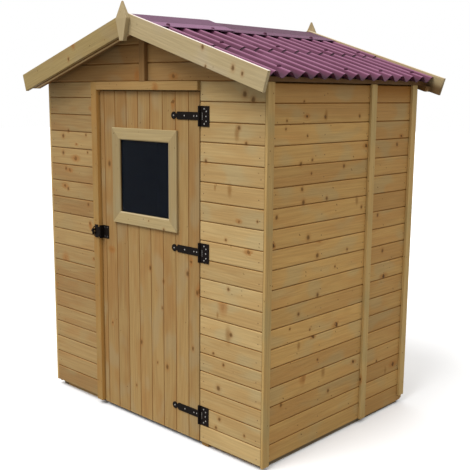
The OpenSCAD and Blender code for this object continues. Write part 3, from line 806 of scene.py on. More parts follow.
    def build(self, body: str, slot: str, material: bpy.types.Material, replaces: str = "",
              value: str = "tone") -> bpy.types.Object:
        """Makes the object, dresses it and lets it ride on its body.

        Args:
            body: Body that carries the piece.
            slot: Name of a material slot; not used.
            material: Finish of the piece.
            replaces: Node that the piece stands for, if any.
            value: Name of the attribute that holds the tones.

        Returns:
            The new object.
        """
        verts = np.concatenate(self.verts)
        quads = np.concatenate(self.quads)
        mesh = bpy.data.meshes.new(self.name)
        mesh.from_pydata(verts.tolist(), [], quads.tolist())
        mesh.polygons.foreach_set("use_smooth", np.concatenate(self.smooth))
        mesh.uv_layers.new(name="grain").data.foreach_set(
            "uv", np.concatenate(self.grain)[quads.ravel()].astype(np.float32).ravel())
        mesh.attributes.new(value, "FLOAT", "POINT").data.foreach_set(
            "value", np.concatenate(self.tones).astype(np.float32))
        mesh.materials.append(material)
        mesh.update()
        piece = bpy.data.objects.new(self.name, mesh)
        bpy.context.scene.collection.objects.link(piece)
        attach(piece, body)
        if replaces:
            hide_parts(replaces)
        LOG.info("%s: %d quads on %s", self.name, len(quads), body)
        return piece


def rounded(low: tuple[float, float], high: tuple[float, float], radius: float) -> np.ndarray:
    """Gives the outline of a rectangle with quarter-circle corners, counter-clockwise.

    Args:
        low: Lowest corner.
        high: Highest corner.
        radius: Radius of the corners.

    Returns:
        Twelve points.
    """
    start = np.repeat(np.array([180.0, 270.0, 0.0, 90.0]), 3)
    turn = np.radians(start + np.tile(np.array([0.0, 45.0, 90.0]), 4))
    near, far = np.array(low) + radius, np.array(high) - radius
    first = np.repeat(np.array([near[0], far[0], far[0], near[0]]), 3)
    second = np.repeat(np.array([near[1], near[1], far[1], far[1]]), 3)
    return np.stack([first + radius * np.cos(turn), second + radius * np.sin(turn)], axis=1)


@dataclass
class Boards:
    """Tongue and groove boards: eased front edges, a narrow slit and a tongue behind it."""

    groove: float = 0.0052
    slit: float = 0.0008
    tongue: float = 0.0065
    sliver: float = 0.02
    groove_tones: tuple[float, ...] = (0, 0, 0, 3, 3, 2, 0, 0, 0, 0, 2, 3, 3, 0)
    seed: int = 11

    def __post_init__(self) -> None:
        """Starts the fixed order of chance values."""
        self.chance = np.random.default_rng(self.seed)

    def profile(self, low: np.ndarray, high: np.ndarray, back: float, front: float) -> np.ndarray:
        """Gives the outlines of boards across their width.

        The front edges are quarter circles of the groove's radius, set back by the slit, and the
        board reaches its full width again behind the tongue's depth.

        Args:
            low: Lower edges.
            high: Upper edges.
            back: Place of the back faces.
            front: Place of the front faces.

        Returns:
            Outlines as boards by points by 2, counter-clockwise.
        """
        turn = np.radians(np.array([0.0, 30.0, 60.0, 90.0]))
        curve = self.groove * (1.0 - np.cos(turn))
        rise = front - self.groove * (1.0 - np.sin(turn))
        inner = front - self.tongue
        ones = np.ones_like(low)
        upper = [(high, back), (high, inner), (high - self.slit, inner)]
        upper += [(high - self.slit - bend, level) for bend, level in zip(curve, rise)]
        lower = [(low + self.slit + bend, level) for bend, level in zip(curve[::-1], rise[::-1])]
        lower += [(low + self.slit, inner), (low, inner)]
        points = [(low, back)] + upper + lower
        return np.stack([np.stack([first, ones * second], axis=-1) for first, second in points],
                        axis=1)

    def lay(self, mesh: Mesh, axes: np.ndarray, edges: np.ndarray,
            ends: tuple[np.ndarray, np.ndarray], depth: np.ndarray, tone: float = 0.0) -> None:
        """Lays one board between each pair of edges.

        Args:
            mesh: Mesh that takes the boards.
            axes: Rows of the wall's basis.
            edges: Places of the joints across the boards.
            ends: First and last place along each board's points, as boards by points.
            depth: Back and front of the boards.
            tone: Tone that all the boards share.
        """
        count = len(edges) - 1
        outline = self.profile(edges[:-1], edges[1:], *depth)
        start, stop = (np.broadcast_to(end, outline.shape[:2]) for end in ends)
        shift = self.chance.uniform(0.0, GRAIN_SHIFT, (count, 2))
        mesh.bars(axes, outline, start, stop, shift, self.tones(count) + tone)

    def tones(self, count: int) -> np.ndarray:
        """Gives each board its own tone, with more on the points inside the grooves."""
        return self.chance.uniform(-0.5, 0.5, count)[:, None] + np.array(self.groove_tones)[None]

    def joints(self, low: float, high: float, first: float, cover: float) -> np.ndarray:
        """Gives the joints of a stack of boards.

        Args:
            low: Lower end of the stack.
            high: Upper end of the stack.
            first: Height of the first joint.
            cover: Distance between joints.

        Returns:
            All edges from low to high; a sliver at either end is joined to the next board.
        """
        inner = np.arange(first, high - self.sliver, cover)
        return np.concatenate([[low], inner[inner > low + self.sliver], [high]])


@dataclass
class Walls:
    """Cladding of the four walls and the two gables, with its nails."""

    cover: float = 0.090
    first_joint: float = 0.109
    left_rise: float = 0.009
    side_drop: float = 0.003
    gable_cover: float = 0.088
    gable_first: float = 0.086
    gable_gap: float = 0.002
    gable_split: float = 0.018
    gable_painted_light: tuple[float, float] = (0.3, -0.5)
    batten_y: float = 0.196
    panel_gap: float = 0.0006
    rear_drop: float = 0.008
    rear_dim: float = 0.5
    eave_shade: float = 2.3
    eave_fade: tuple[float, ...] = (0.0, 0.35, 1.0)
    nail_place: float = 0.38
    nail_stray: tuple[float, float] = (0.004, 0.005)
    nail_head: tuple[float, float] = (0.0028, 0.0007)
    boards: Boards = field(default_factory=Boards)
    nails: Mesh = field(default_factory=lambda: Mesh("wall_nails"))

    def build(self) -> None:
        """Makes every wall and the nails that hold it."""
        first, side = self.first_joint, self.first_joint - self.side_drop
        self.panel("front_left_panel", Face.FRONT, SEEN_LEFT, first + self.left_rise, (),
                   (-0.758, -0.406))
        self.panel("front_right_panel", Face.FRONT, SEEN_FRONT, first, (), (0.42, 0.758))
        self.panel("right_wall", Face.RIGHT, SEEN_SIDE, side, (self.batten_y,),
                   (-0.532, -0.176, 0.16, 0.232, 0.53), self.rear_drop, self.rear_dim, self.eave_shade)
        self.panel("left_wall", Face.LEFT, SIDE, side, (-self.batten_y,),
                   (-0.53, -0.232, -0.16, 0.176, 0.532), shade=self.eave_shade)
        self.panel("back_wall", Face.BACK, FRONT, first, (0.0,),
                   (-0.758, -0.392, -0.036, 0.036, 0.392, 0.758))
        self.gable("front_gable", Face.FRONT, self.gable_split, self.gable_painted_light)
        self.gable("back_gable", Face.BACK, 0.0)
        self.nails.build("shed", "ironwork", NAIL.dress())

    def panel(self, node: str, face: Face, finish: Pine, first: float, splits: tuple[float, ...],
              lines: tuple[float, ...], drop: float = 0.0, dim: float = 0.0,
              shade: float = 0.0) -> None:
        """Makes the boards of one wall.

        Args:
            node: Node that the boards stand for.
            face: Side of the shed.
            finish: Finish of the boards.
            first: Height of the first joint.
            splits: Places where the wall is made of two panels.
            lines: Places of the nails along the wall.
            drop: How much lower the second panel hangs.
            dim: How much darker the second panel is.
            shade: Painted shade below the eave: how much darker the top edge is, fading over two boards.
        """
        span = node_span(node, face.axes)
        edges = self.boards.joints(*span[1], first, self.cover)
        mesh = Mesh(f"{node}_boards")
        stops = np.array([span[0, 0], *splits, span[0, 1]])
        for number, (start, stop) in enumerate(zip(stops[:-1], stops[1:])):
            hung = edges.copy()
            hung[0] -= drop * number
            ends = np.array([[[start + self.panel_gap]], [[stop - self.panel_gap]]])
            self.boards.lay(mesh, face.axes, hung, tuple(ends), span[2], dim * number)
        # Painted shade below the eave: the top board darkens, fading out over the board below.
        heights = span[1, 1] - self.cover * np.array([2.0, 1.0, 0.0])
        mesh.shade(heights, shade * np.array(self.eave_fade))
        mesh.build("shed", "clad_wood", finish.dress(Grain.MAP), node)
        self.nail_rows(face, edges, np.array(lines), span[2, 1])

    def gable(self, node: str, face: Face, split: float,
              tones: tuple[float, float] = (0.0, 0.0)) -> None:
        """Makes the boards of one gable, cut to the slope at their outer ends.

        Args:
            node: Node that the boards stand for.
            face: Side of the shed.
            split: Place of the joint between its halves.
            tones: Tones of its halves; on the front gable they paint shade on the left half and light on
                the right.
        """
        span = node_span(node, face.axes)
        top = span[1, 1]
        edges = self.boards.joints(span[1, 0], top - self.gable_gap, span[1, 0] + self.gable_first,
                                   self.gable_cover)
        outline = self.boards.profile(edges[:-1], edges[1:], *span[2])
        reach = np.clip((top - outline[..., 0]) / math.tan(PITCH), 0.0, span[0, 1])
        middle = np.clip(np.full_like(reach, split), -reach, reach)
        mesh = Mesh(f"{node}_boards")
        for ends, tone in zip(((-reach, middle), (middle, reach)), tones):
            self.boards.lay(mesh, face.axes, edges, ends, span[2], tone)
        mesh.build("shed", "clad_wood", SHADED_GABLE.dress(Grain.MAP), node)

    def nail_rows(self, face: Face, edges: np.ndarray, lines: np.ndarray, out: float) -> None:
        """Adds one nail to each board on each line.

        Args:
            face: Side of the shed.
            edges: Joints of the boards.
            lines: Places along the wall.
            out: Place of the front faces.
        """
        heights = edges[:-1] + self.nail_place * np.diff(edges)
        along, up = (grid + self.boards.chance.normal(0.0, stray, grid.shape)
                     for grid, stray in zip(np.meshgrid(lines, heights), self.nail_stray))
        local = np.stack([along.ravel(), up.ravel(), np.full(along.size, out)], axis=1)
        self.nails.domes(local @ face.axes, face.axes[[2, 0, 1]], *self.nail_head)


@dataclass
class Trims:
    """Planed timber with eased edges: corner trims, battens, jamb, post and header."""

    edge: float = 0.002
    wall_x: float = 0.784
    corner_w: float = 0.045
    strip_gap: float = 0.005
    strip_lap: float = 0.006
    jamb_painted_light: float = -2.6
    seed: int = 23

    def build(self) -> None:
        """Makes each trim in place of its plain solid."""
        self.chance = np.random.default_rng(self.seed)
        self.standing("corner_trims",
                      [(1, 1, 0.046), (1, -1, 0.014), (-1, 1, 0.046), (-1, -1, 0.029)])
        self.standing("side_battens", [(1, 0, 0.020), (-1, 0, 0.020)])
        self.single("gable_batten", True, RAFTER)
        self.single("back_batten", True, TRIM)
        self.single("door_jamb", True, JAMB, self.jamb_painted_light)
        self.single("door_post", True, JAMB)
        self.single("door_header", False, HEADER)
        self.stop_strips()

    def stop_strips(self) -> None:
        """Adds the narrow strips on the jamb and the header that close the gap behind the leaf."""
        jamb, leaf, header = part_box("door_jamb"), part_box("door_leaf"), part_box("door_header")
        front, back = leaf[1][1] + self.strip_gap, jamb[1][1]
        side, top = leaf[0][0] + self.strip_lap, header[0][2]
        mesh = Mesh("door_stop_strips")
        self.timber(mesh, np.array([jamb[1][0], front, jamb[0][2]]), np.array([side, back, top]), True)
        self.timber(mesh, np.array([side, front, leaf[1][2] - self.strip_lap]),
                    np.array([header[1][0], back, top]), False)
        mesh.build("shed", "trim_wood", SAWN.dress(Grain.MAP))

    def timber(self, mesh: Mesh, low: np.ndarray, high: np.ndarray, upright: bool,
               inside: float = 0.0) -> None:
        """Adds one squared timber with eased edges.

        Args:
            mesh: Mesh that takes it.
            low: Lowest corner.
            high: Highest corner.
            upright: Whether it stands, or else lies along X.
            inside: Tone that its last face gets on top of its own; on the jamb it paints light into the
                shaded reveal.
        """
        axes = np.roll(np.eye(3), -2 if upright else 0, axis=0)
        first, last = axes @ low, axes @ high
        outline = rounded(tuple(first[1:]), tuple(last[1:]), self.edge)[None]
        ones = np.ones((1, outline.shape[1]))
        shift = self.chance.uniform(0.0, GRAIN_SHIFT, (1, 2))
        own = self.chance.uniform(-0.3, 0.3, 1)[:, None]
        on_last = outline[..., 0] > last[1] - HAIR
        # Extra tone on the last face; the jamb's paints light into its shaded reveal.
        mesh.bars(axes, outline, first[0] * ones, last[0] * ones, shift, own + inside * on_last,
                  self.edge * 0.7)

    def standing(self, node: str, places: list[tuple[int, int, float]]) -> None:
        """Makes trims that stand on both side walls.

        Args:
            node: Node that they stand for.
            places: Sign of X, sign of Y or 0 for a batten, and height of the foot of each trim.
        """
        low, high = (np.array(corner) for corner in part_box(node))
        mesh = Mesh(f"{node}_timber")
        for side, end, foot in places:
            first, last = low.copy(), high.copy()
            first[0], last[0] = (self.wall_x, high[0]) if side > 0 else (low[0], -self.wall_x)
            if end < 0:
                last[1] = low[1] + self.corner_w
            elif end > 0:
                first[1] = high[1] - self.corner_w
            first[2] = foot
            self.timber(mesh, first, last, True)
        mesh.build("shed", "trim_wood", TRIM.dress(Grain.MAP), node)

    def single(self, node: str, upright: bool, finish: Pine, inside: float = 0.0) -> None:
        """Makes one timber from its node's own box.

        Args:
            node: Node that it stands for.
            upright: Whether it stands, or else lies along X.
            finish: Finish of the timber.
            inside: Tone that its last face gets on top of its own; on the jamb it paints light into the
                shaded reveal.
        """
        low, high = (np.array(corner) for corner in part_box(node))
        mesh = Mesh(f"{node}_timber")
        self.timber(mesh, low, high, upright, inside)
        mesh.build("shed", "trim_wood", finish.dress(Grain.MAP), node)


@dataclass
class Door:
    """Boarded leaf with its window frame, screws and fittings."""

    board_joints: tuple[float, ...] = (-0.306, -0.219, -0.130, -0.042, 0.047, 0.138, 0.229, 0.318)
    board_tones: tuple[float, ...] = (0.6, 0.0, 0.0, -0.3, 0.0, -0.6, 0.0, 0.6, 0.3)
    painted_overhang_shade: tuple[float, float] = (-0.1, 0.4)
    hinge_z: tuple[float, ...] = (0.158, 0.9495, 1.574)
    hinge_x: float = 0.394
    strap_screws: tuple[float, ...] = (-0.173, -0.100, -0.037, -0.018)
    plate_screws: tuple[tuple[float, float], ...] = (
        (0.030, 0.0335), (0.043, 0.022), (0.041, 0.0), (0.043, -0.022), (0.030, -0.0335))
    plate_t: float = 0.003
    curl_x: float = 0.018
    curl_half: tuple[float, float] = (0.0008, 0.016)
    curl_depth: tuple[float, float] = (0.001, 0.0012)
    curl_edge: float = 0.0005
    hasp_screws: tuple[float, float] = (0.012, 0.032)
    hasp_rise: float = 0.024
    hasp_y: float = -0.5905
    screw_head: tuple[float, float] = (0.0036, 0.0016)
    hasp_head: tuple[float, float] = (0.0036, 0.0013)
    frame_w: float = 0.059
    chamfer: float = 0.005
    edge: float = 0.002
    reveal_painted_shade: float = 1.5
    far_chamfer_highlight: float = 0.4
    boards: Boards = field(default_factory=lambda: Boards(groove=0.003, seed=37))
    seed: int = 41

    def build(self) -> None:
        """Makes the leaf, the window frame and the screws."""
        self.leaf()
        self.window()
        self.screws()

    def leaf(self) -> None:
        """Lays the upright boards, whole or cut around the window."""
        axes = Face.FRONT.upright
        span, hole = node_span("door_leaf", axes), node_span("window_pane", axes)
        edges = np.concatenate([[span[1, 0]], -np.array(self.board_joints)[::-1], [span[1, 1]]])
        outline = self.boards.profile(edges[:-1], edges[1:], *span[2])
        count, points = outline.shape[:2]
        shift = self.boards.chance.uniform(0.0, GRAIN_SHIFT, (count, 2))
        tones = self.boards.tones(count) + np.array(self.board_tones)[:, None]
        # The leaf's own two edges have no groove.
        tones[0, 8:13] = tones[0, 0]
        tones[-1, 3:7] = tones[-1, 0]
        left, right = outline.copy(), outline.copy()
        left[..., 0] = np.minimum(left[..., 0], hole[1, 0])
        right[..., 0] = np.maximum(right[..., 0], hole[1, 1])
        low, high = span[0]
        crosses = (edges[1:] > hole[1, 0]) & (edges[:-1] < hole[1, 1])
        pieces = [(~crosses, outline, low, high),
                  (crosses, outline, low, hole[0, 0]), (crosses, outline, hole[0, 1], high),
                  (crosses & (edges[:-1] < hole[1, 0]), left, *hole[0]),
                  (crosses & (edges[1:] > hole[1, 1]), right, *hole[0])]
        mesh = Mesh("door_leaf_boards")
        ones = np.ones((count, points))
        for chosen, shape, start, stop in pieces:
            if chosen.any():
                mesh.bars(axes, shape[chosen], start * ones[chosen], stop * ones[chosen],
                          shift[chosen], tones[chosen])
        # Painted shade: the leaf darkens towards its top, under the overhang.
        mesh.shade(span[0], np.array(self.painted_overhang_shade))
        mesh.build("door", "door_wood", SEEN_DOOR.dress(Grain.MAP), "door_leaf")

    def window(self) -> None:
        """Makes the mitred frame: each member's ends follow the 45 degree cut of its profile."""
        chance = np.random.default_rng(self.seed)
        # Each kind of member: its tone shift and the strength of its chamfer's painted highlight.
        for node, other, axes, shade, pale in (
                ("window_rails", "window_stiles", Face.FRONT.axes, -0.3, 0.8),
                ("window_stiles", "window_rails", Face.FRONT.upright, 0.35, 2.2)):
            span = node_span(node, axes)
            centre = node_span(other, axes)[0].mean()
            middle = span[1].mean()
            mesh = Mesh(f"{node}_timber")
            for low in (span[1, 0], span[1, 1] - self.frame_w):
                near = low < middle
                outline, tones = self.member(low, span[2], near, pale if near else self.far_chamfer_highlight)
                reach = np.abs(outline[..., 0] - middle)
                shift = chance.uniform(0.0, GRAIN_SHIFT, (1, 2))
                own = chance.uniform(-0.3, 0.3, 1)[:, None]
                mesh.bars(axes, outline, centre - reach, centre + reach, shift, own + tones + shade)
            mesh.build("door", "barge_wood", WINDOW.dress(Grain.MAP), node)

    def member(self, low: float, depth: np.ndarray, inside_high: bool,
               pale: float) -> tuple[np.ndarray, np.ndarray]:
        """Gives the profile of one frame member and the tone of its points.

        The profile is a rectangle with eased edges. The edge next to the pane is cut by a flat
        chamfer that gets a painted highlight, and the face beside the pane gets painted shade.

        Args:
            low: Lower edge of the member.
            depth: Back and front of the member.
            inside_high: Whether the pane is at the upper edge.
            pale: Strength of the chamfer's painted highlight, from 1 on.

        Returns:
            The outline as 1 by points by 2, and the tones as 1 by points.
        """
        outline = rounded((low, depth[0]), (low + self.frame_w, depth[1]), self.edge)
        tones = np.zeros(len(outline))
        corner = np.array([6, 7, 8]) if inside_high else np.array([11, 10, 9])
        inner, step = (low + self.frame_w, -1.0) if inside_high else (low, 1.0)
        outline[corner, 0] = inner + step * self.chamfer * np.array([0.0, 1.0, 1.1])
        outline[corner, 1] = depth[1] - self.chamfer * np.array([0.8, 0.0, 0.0])
        # Painted highlight on the chamfer, painted shade on the face beside the pane.
        tones[corner] = np.array([-pale, -pale, 0.0])
        tones[np.arange(3, 6) if inside_high else np.arange(0, 3)] = self.reveal_painted_shade
        return outline[None], tones[None]

    def screws(self) -> None:
        """Adds the screw heads of the hinges and the hasp, and a bright curl on each wall plate as
        painted highlight.
        """
        out = np.array([(0, -1, 0), (1, 0, 0), (0, 0, 1)], float)
        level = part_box("hinge_plates")[1][1] - self.plate_t
        strap = np.array([(place, 0.0) for place in self.strap_screws])
        on_door, on_wall, on_hasp = Mesh("door_screws"), Mesh("wall_screws"), Mesh("hasp_screws")
        rise = np.array(self.hinge_z)
        for mesh, pattern in ((on_door, strap), (on_wall, np.array(self.plate_screws))):
            place = np.stack(np.broadcast_arrays(self.hinge_x + pattern[None, :, 0], level,
                                                 rise[:, None] + pattern[None, :, 1]), axis=-1)
            mesh.domes(place.reshape(-1, 3), out, *self.screw_head)
        # Painted highlight: a thin bright zinc strip on each wall plate stands for the light on the
        # hinge's knuckle.
        across, tall = self.curl_half
        middle = -self.hinge_x - self.curl_x
        sunk, proud = self.curl_depth
        knuckle_highlight = rounded((middle - across, -level - sunk), (middle + across, -level + proud),
                       self.curl_edge)
        ends = np.ones((len(rise), len(knuckle_highlight)))
        on_wall.bars(Face.FRONT.upright, np.repeat(knuckle_highlight[None], len(rise), axis=0),
                     ends * (rise - tall)[:, None], ends * (rise + tall)[:, None],
                     np.zeros((len(rise), 2)), 0.0 * ends)
        low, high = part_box("hasp_bracket")
        centre = (low[2] + high[2]) / 2.0
        on_hasp.domes(np.array([(high[0] - inset, self.hasp_y, centre + side * self.hasp_rise)
                                for inset in self.hasp_screws for side in (-1.0, 1.0)]),
                      out, *self.hasp_head)
        zinc = ZINC.dress()
        on_door.build("door", "ironwork", zinc)
        on_hasp.build("door", "ironwork", BLACKED.dress())
        on_wall.build("shed", "ironwork", zinc)


@dataclass
class Roof:
    """Corrugated sheets, their nails, the bargeboards, the verge rafters and the finials."""

    apex: Vector = (0.0, 0.0, 2.04289)
    waves: int = 14
    wave_steps: int = 18
    slope_steps: int = 12
    lead: float = 0.4
    length: float = 1.346
    height: float = 0.032
    thick: float = 0.003
    seat: float = 0.0003
    crest_drop: float = 0.011
    eave: float = 0.88189
    lap: float = 0.50589
    overlap: float = 0.100
    top: float = 0.032
    lap_shadow: float = 0.009
    lap_shadow_fade: tuple[float, float] = (0.002, 0.003)
    nail_lines: tuple[tuple[float, float, tuple[int, ...]], ...] = (
        (0.80989, 0.0, (1, 6, 9, 12)), (0.45589, 0.0033, (1, 5, 9, 12)), (0.192, 0.0063, (0, 3, 7, 11)))
    nail_head: tuple[float, float] = (0.0098, 0.0085)
    nail_tone: float = 0.5
    barge_l: float = 0.92744
    barge_w: float = 0.090
    barge_t: float = 0.018
    rear_extra: float = 0.014
    edge: float = 0.0018
    painted_top_highlight: tuple[float, float] = (-3.0, -1.5)
    inner_shade: tuple[float, float] = (4.0, -0.2)
    strip_steps: tuple[float, ...] = (0.0, 0.010, 0.012, 0.028, 0.030, 0.045)
    strip_painted_light: tuple[float, ...] = (1.8, 1.8, -2.5, -2.5, 1.4, 1.4)
    rafter_painted_shade: float = 0.8
    finial_head: float = 0.078
    finial_half: Vector = (0.013, 0.039, 0.0015)
    finial_t: float = 0.024
    finial_draw: float = 0.007
    finial_edge: float = 0.002
    seed: int = 53

    def build(self) -> None:
        """Makes the sheets on both slopes, the nails and the timber along the verges."""
        finish = ROOF.dress()
        self.nails = Mesh("roof_nails")
        for side, name in ((1.0, "right"), (-1.0, "left")):
            self.sheet(f"lower_sheet_{name}", side, self.lap - self.overlap, self.eave, 0.0, finish)
            self.sheet(f"upper_sheet_{name}", side, self.top, self.lap, self.thick + self.seat, finish)
            self.bargeboards(f"bargeboards_{name}", side)
            self.nail_rows(side)
        self.nails.build("shed", "roof_sheet", finish, value="crest")
        self.verge_rafters()
        self.finials()

    def axes(self, side: float) -> np.ndarray:
        """Gives the slope's basis: down the slope, from front to back, and square to it."""
        run, fall = math.cos(PITCH), math.sin(PITCH)
        return np.array([(side * run, 0, -fall), (0, 1, 0), (side * fall, 0, run)])

    def sheet(self, node: str, side: float, start: float, stop: float, lift: float,
              finish: bpy.types.Material) -> None:
        """Makes one sheet as a closed wave.

        The wave's height over the place across the roof is a cosine whose first valley lies
        behind the front verge by the lead. The upper and lower faces are that wave moved by
        half the thickness. A lower sheet has a painted shadow along the lap, under the upper
        sheet's edge.

        Args:
            node: Node that the sheet stands for.
            side: 1 for the right slope, -1 for the left one.
            start: Upper edge along the slope.
            stop: Lower edge along the slope.
            lift: Height over the lower course.
            finish: Finish of the sheet.
        """
        across = np.linspace(-self.length / 2, self.length / 2, self.waves * self.wave_steps + 1)
        swing = -np.cos(2.0 * math.pi * (self.waves * (across / self.length + 0.5) - self.lead))
        level = -self.crest_drop - self.height / 2 + lift + swing * (self.height - self.thick) / 2
        down = np.linspace(start, stop, self.slope_steps)
        lapped = stop > self.lap
        if lapped:
            above, below = self.lap_shadow_fade
            line = np.array([-above, 0.0, self.lap_shadow, self.lap_shadow + below])
            down = np.sort(np.append(down, self.lap + line))
        grid_s, grid_y = np.meshgrid(down, across, indexing="ij")
        layers = [np.stack(np.broadcast_arrays(grid_s, grid_y, level + half), axis=-1)
                  for half in (self.thick / 2, -self.thick / 2)]
        local = np.stack(layers)
        ids = np.arange(local[..., 0].size).reshape(local.shape[:3])
        faces = [np.stack([layer[:-1, :-1], layer[1:, :-1], layer[1:, 1:], layer[:-1, 1:]], axis=-1)
                 for layer in (ids[0], ids[1].T)]
        rims = [(ids[:, 0, :], -1), (ids[:, -1, :], 1), (ids[:, :, 0], 1), (ids[:, :, -1], -1)]
        edges = [np.stack([rim[0, :-1], rim[1, :-1], rim[1, 1:], rim[0, 1:]], axis=-1)[:, ::way]
                 for rim, way in rims]
        verts = local.reshape(-1, 3) @ self.axes(side) + np.array(self.apex)
        # Painted shadow: the rows just below the lap take crest -1, the darkest valley colour.
        dark = (down > self.lap - HAIR) & (down < self.lap + self.lap_shadow + HAIR) & lapped
        crest = np.where(dark[:, None], -1.0, (swing + 1.0) / 2.0)
        crest = np.broadcast_to(crest, local.shape[:3]).reshape(-1)
        grain = local[..., :2].reshape(-1, 2)
        curved, rim = (np.concatenate([part.reshape(-1, 4) for part in parts])[:, ::int(side)]
                       for parts in (faces, edges))
        mesh = Mesh(f"{node}_wave")
        mesh.put(verts, curved, grain, crest, smooth=True)
        # The rim faces take crest -1 too, the darkest colour, as painted shade.
        used, order = np.unique(rim, return_inverse=True)
        mesh.put(verts[used], order.reshape(-1, 4), grain[used], np.full(len(used), -1.0))
        mesh.build("shed", "roof_sheet", finish, node, value="crest")

    def nail_rows(self, side: float) -> None:
        """Adds nails with broad heads on the crests over the purlins.

        Each line of nails has its place down the slope, its height over the lower course and the
        numbers of the crests that it holds.

        Args:
            side: 1 for the right slope, -1 for the left one.
        """
        axes = self.axes(side)
        wave = self.length / self.waves
        first = (0.5 + self.lead) * wave - self.length / 2
        places = [(down, first + number * wave, lift - self.crest_drop)
                  for down, lift, crests in self.nail_lines for number in crests]
        centres = np.array(places) @ axes + np.array(self.apex)
        out = np.array([axes[2], axes[0] * side, axes[1]])
        self.nails.domes(centres, out, *self.nail_head, self.nail_tone)

    def slope_bar(self, mesh: Mesh, side: float, outline: np.ndarray, stop: float, shift: np.ndarray,
                  tones: np.ndarray, ease: float = 0.0, gap: float = 0.0) -> None:
        """Carries an outline down a slope, from the upright cut at the ridge to a square end.

        The cut lies lower down the slope by the depth below the roof's plane times the tangent of
        its pitch. The outline's axes are front to back and square to the slope on the right side,
        and the other way round on the left one, so that the faces point outwards on both.

        Args:
            mesh: Mesh that takes the bar.
            side: 1 for the right slope, -1 for the left one.
            outline: Points of the profile.
            stop: Lower end along the slope.
            shift: Offset of the grain map.
            tones: Tones of the bar.
            ease: Size of the eased end edges.
            gap: Distance from the ridge.
        """
        axes = self.axes(side)
        level = outline[:, 1] if side > 0 else outline[:, 0]
        start = -level * math.tan(PITCH) + gap
        mesh.bars(axes if side > 0 else axes[[0, 2, 1]], outline[None], start[None],
                  np.full((1, len(start)), stop), shift, tones, ease, self.apex)

    def bargeboards(self, node: str, side: float) -> None:
        """Makes the two boards of one slope, with a painted highlight along the top edge.

        The inner face of the right slope's rear board gets painted shade that deepens towards its lower
        edge.

        Args:
            node: Node that the boards stand for.
            side: 1 for the right slope, -1 for the left one.
        """
        chance = np.random.default_rng(self.seed + int(side))
        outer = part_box(node)[1][1]
        mesh = Mesh(f"{node}_timber")
        for end, extra, painted_top_highlight in ((-1.0, 0.0, self.painted_top_highlight[0]), (1.0, self.rear_extra, self.painted_top_highlight[1])):
            depth = sorted((end * outer, end * (outer - self.barge_t)))
            low, high = (depth[0], -self.barge_w), (depth[1], 0.0)
            turn = 1 if side > 0 else -1
            outline = rounded(low[::turn], high[::turn], self.edge)
            across, level = outline.T[::turn]
            shift = chance.uniform(0.0, GRAIN_SHIFT, (1, 2))
            inner = (np.abs(across) < outer - self.barge_t / 2) & (end > 0) & (side > 0)
            # Painted shade on the rear board's inner face, deepest at its lower edge.
            lower_edge_shade = np.interp(level, (-self.barge_w, 0.0), self.inner_shade)
            own = chance.uniform(-0.3, 0.0, 1) + np.where(inner, lower_edge_shade, 0.0)
            # Painted highlight: the top edge turns towards the highlight colour.
            top_highlight_tones = np.where(level > -HAIR, painted_top_highlight, 0.0)
            rings = np.stack([own, own + top_highlight_tones, own + top_highlight_tones, own])
            self.slope_bar(mesh, side, outline, self.barge_l + extra, shift, rings[None],
                           self.edge * 0.5)
        finish = SEEN_BARGE if side > 0 else DULL_BARGE
        mesh.build("shed", "barge_wood", finish.dress(Grain.MAP), node)

    def verge_rafters(self) -> None:
        """Makes the rafters behind the bargeboards, with painted shade and a painted highlight strip
        along the underside that shows from below.
        """
        low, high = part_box("verge_rafters")
        top = (high[2] - self.apex[2]) * math.cos(PITCH)
        steps, below = np.array(self.strip_steps), np.array(self.strip_painted_light)
        count = len(steps)
        mesh = Mesh("verge_rafters_timber")
        for side in (-1.0, 1.0):
            # Underside tones: painted shade, a painted highlight strip, painted shade; the other faces
            # get painted shade.
            for depth, under in ((low[1] + steps, below), (high[1] - steps[::-1], below[::-1])):
                outline = np.stack([np.concatenate([depth, depth[::-1]]),
                                    np.repeat([-self.barge_w, top], count)], axis=1)
                tone = np.concatenate([under, np.full(count, self.rafter_painted_shade)])
                if side < 0:
                    outline, tone = outline[::-1, ::-1], tone[::-1]
                self.slope_bar(mesh, side, outline, self.eave, np.zeros((1, 2)), tone[None],
                               gap=self.seat)
        mesh.build("shed", "frame_wood", VERGE.dress(Grain.MAP), "verge_rafters")

    def finials(self) -> None:
        """Makes the finials on both gables, with eased edges and heads that draw in to a point."""
        low, high = (np.array(corner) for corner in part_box("finials"))
        half = np.array(self.finial_half)
        levels = np.array([low[2], high[2] - self.finial_head, high[2]])
        outline = np.stack([np.concatenate([half, -half[::-1]]),
                            np.concatenate([levels, levels[::-1]])], axis=1)
        draw = self.finial_draw * np.array([[0.0, 0.0, 1.0, 1.0, 0.0, 0.0]])
        back, front = high[1] - self.finial_t + draw, high[1] - draw
        mesh = Mesh("finials_timber")
        # The rear finial gets tone 0.5, painted shade.
        for way, tone in ((-1.0, 0.0), (1.0, 0.5)):
            axes = np.array([(0.0, way, 0.0), (-way, 0.0, 0.0), (0.0, 0.0, 1.0)])
            mesh.bars(axes, outline[None], back, front, np.zeros((1, 2)), np.full(1, tone))
        piece = mesh.build("shed", "barge_wood", BARGE.dress(Grain.Z), "finials")
        bevel = piece.modifiers.new("eased", "BEVEL")
        bevel.width, bevel.segments = self.finial_edge, 2


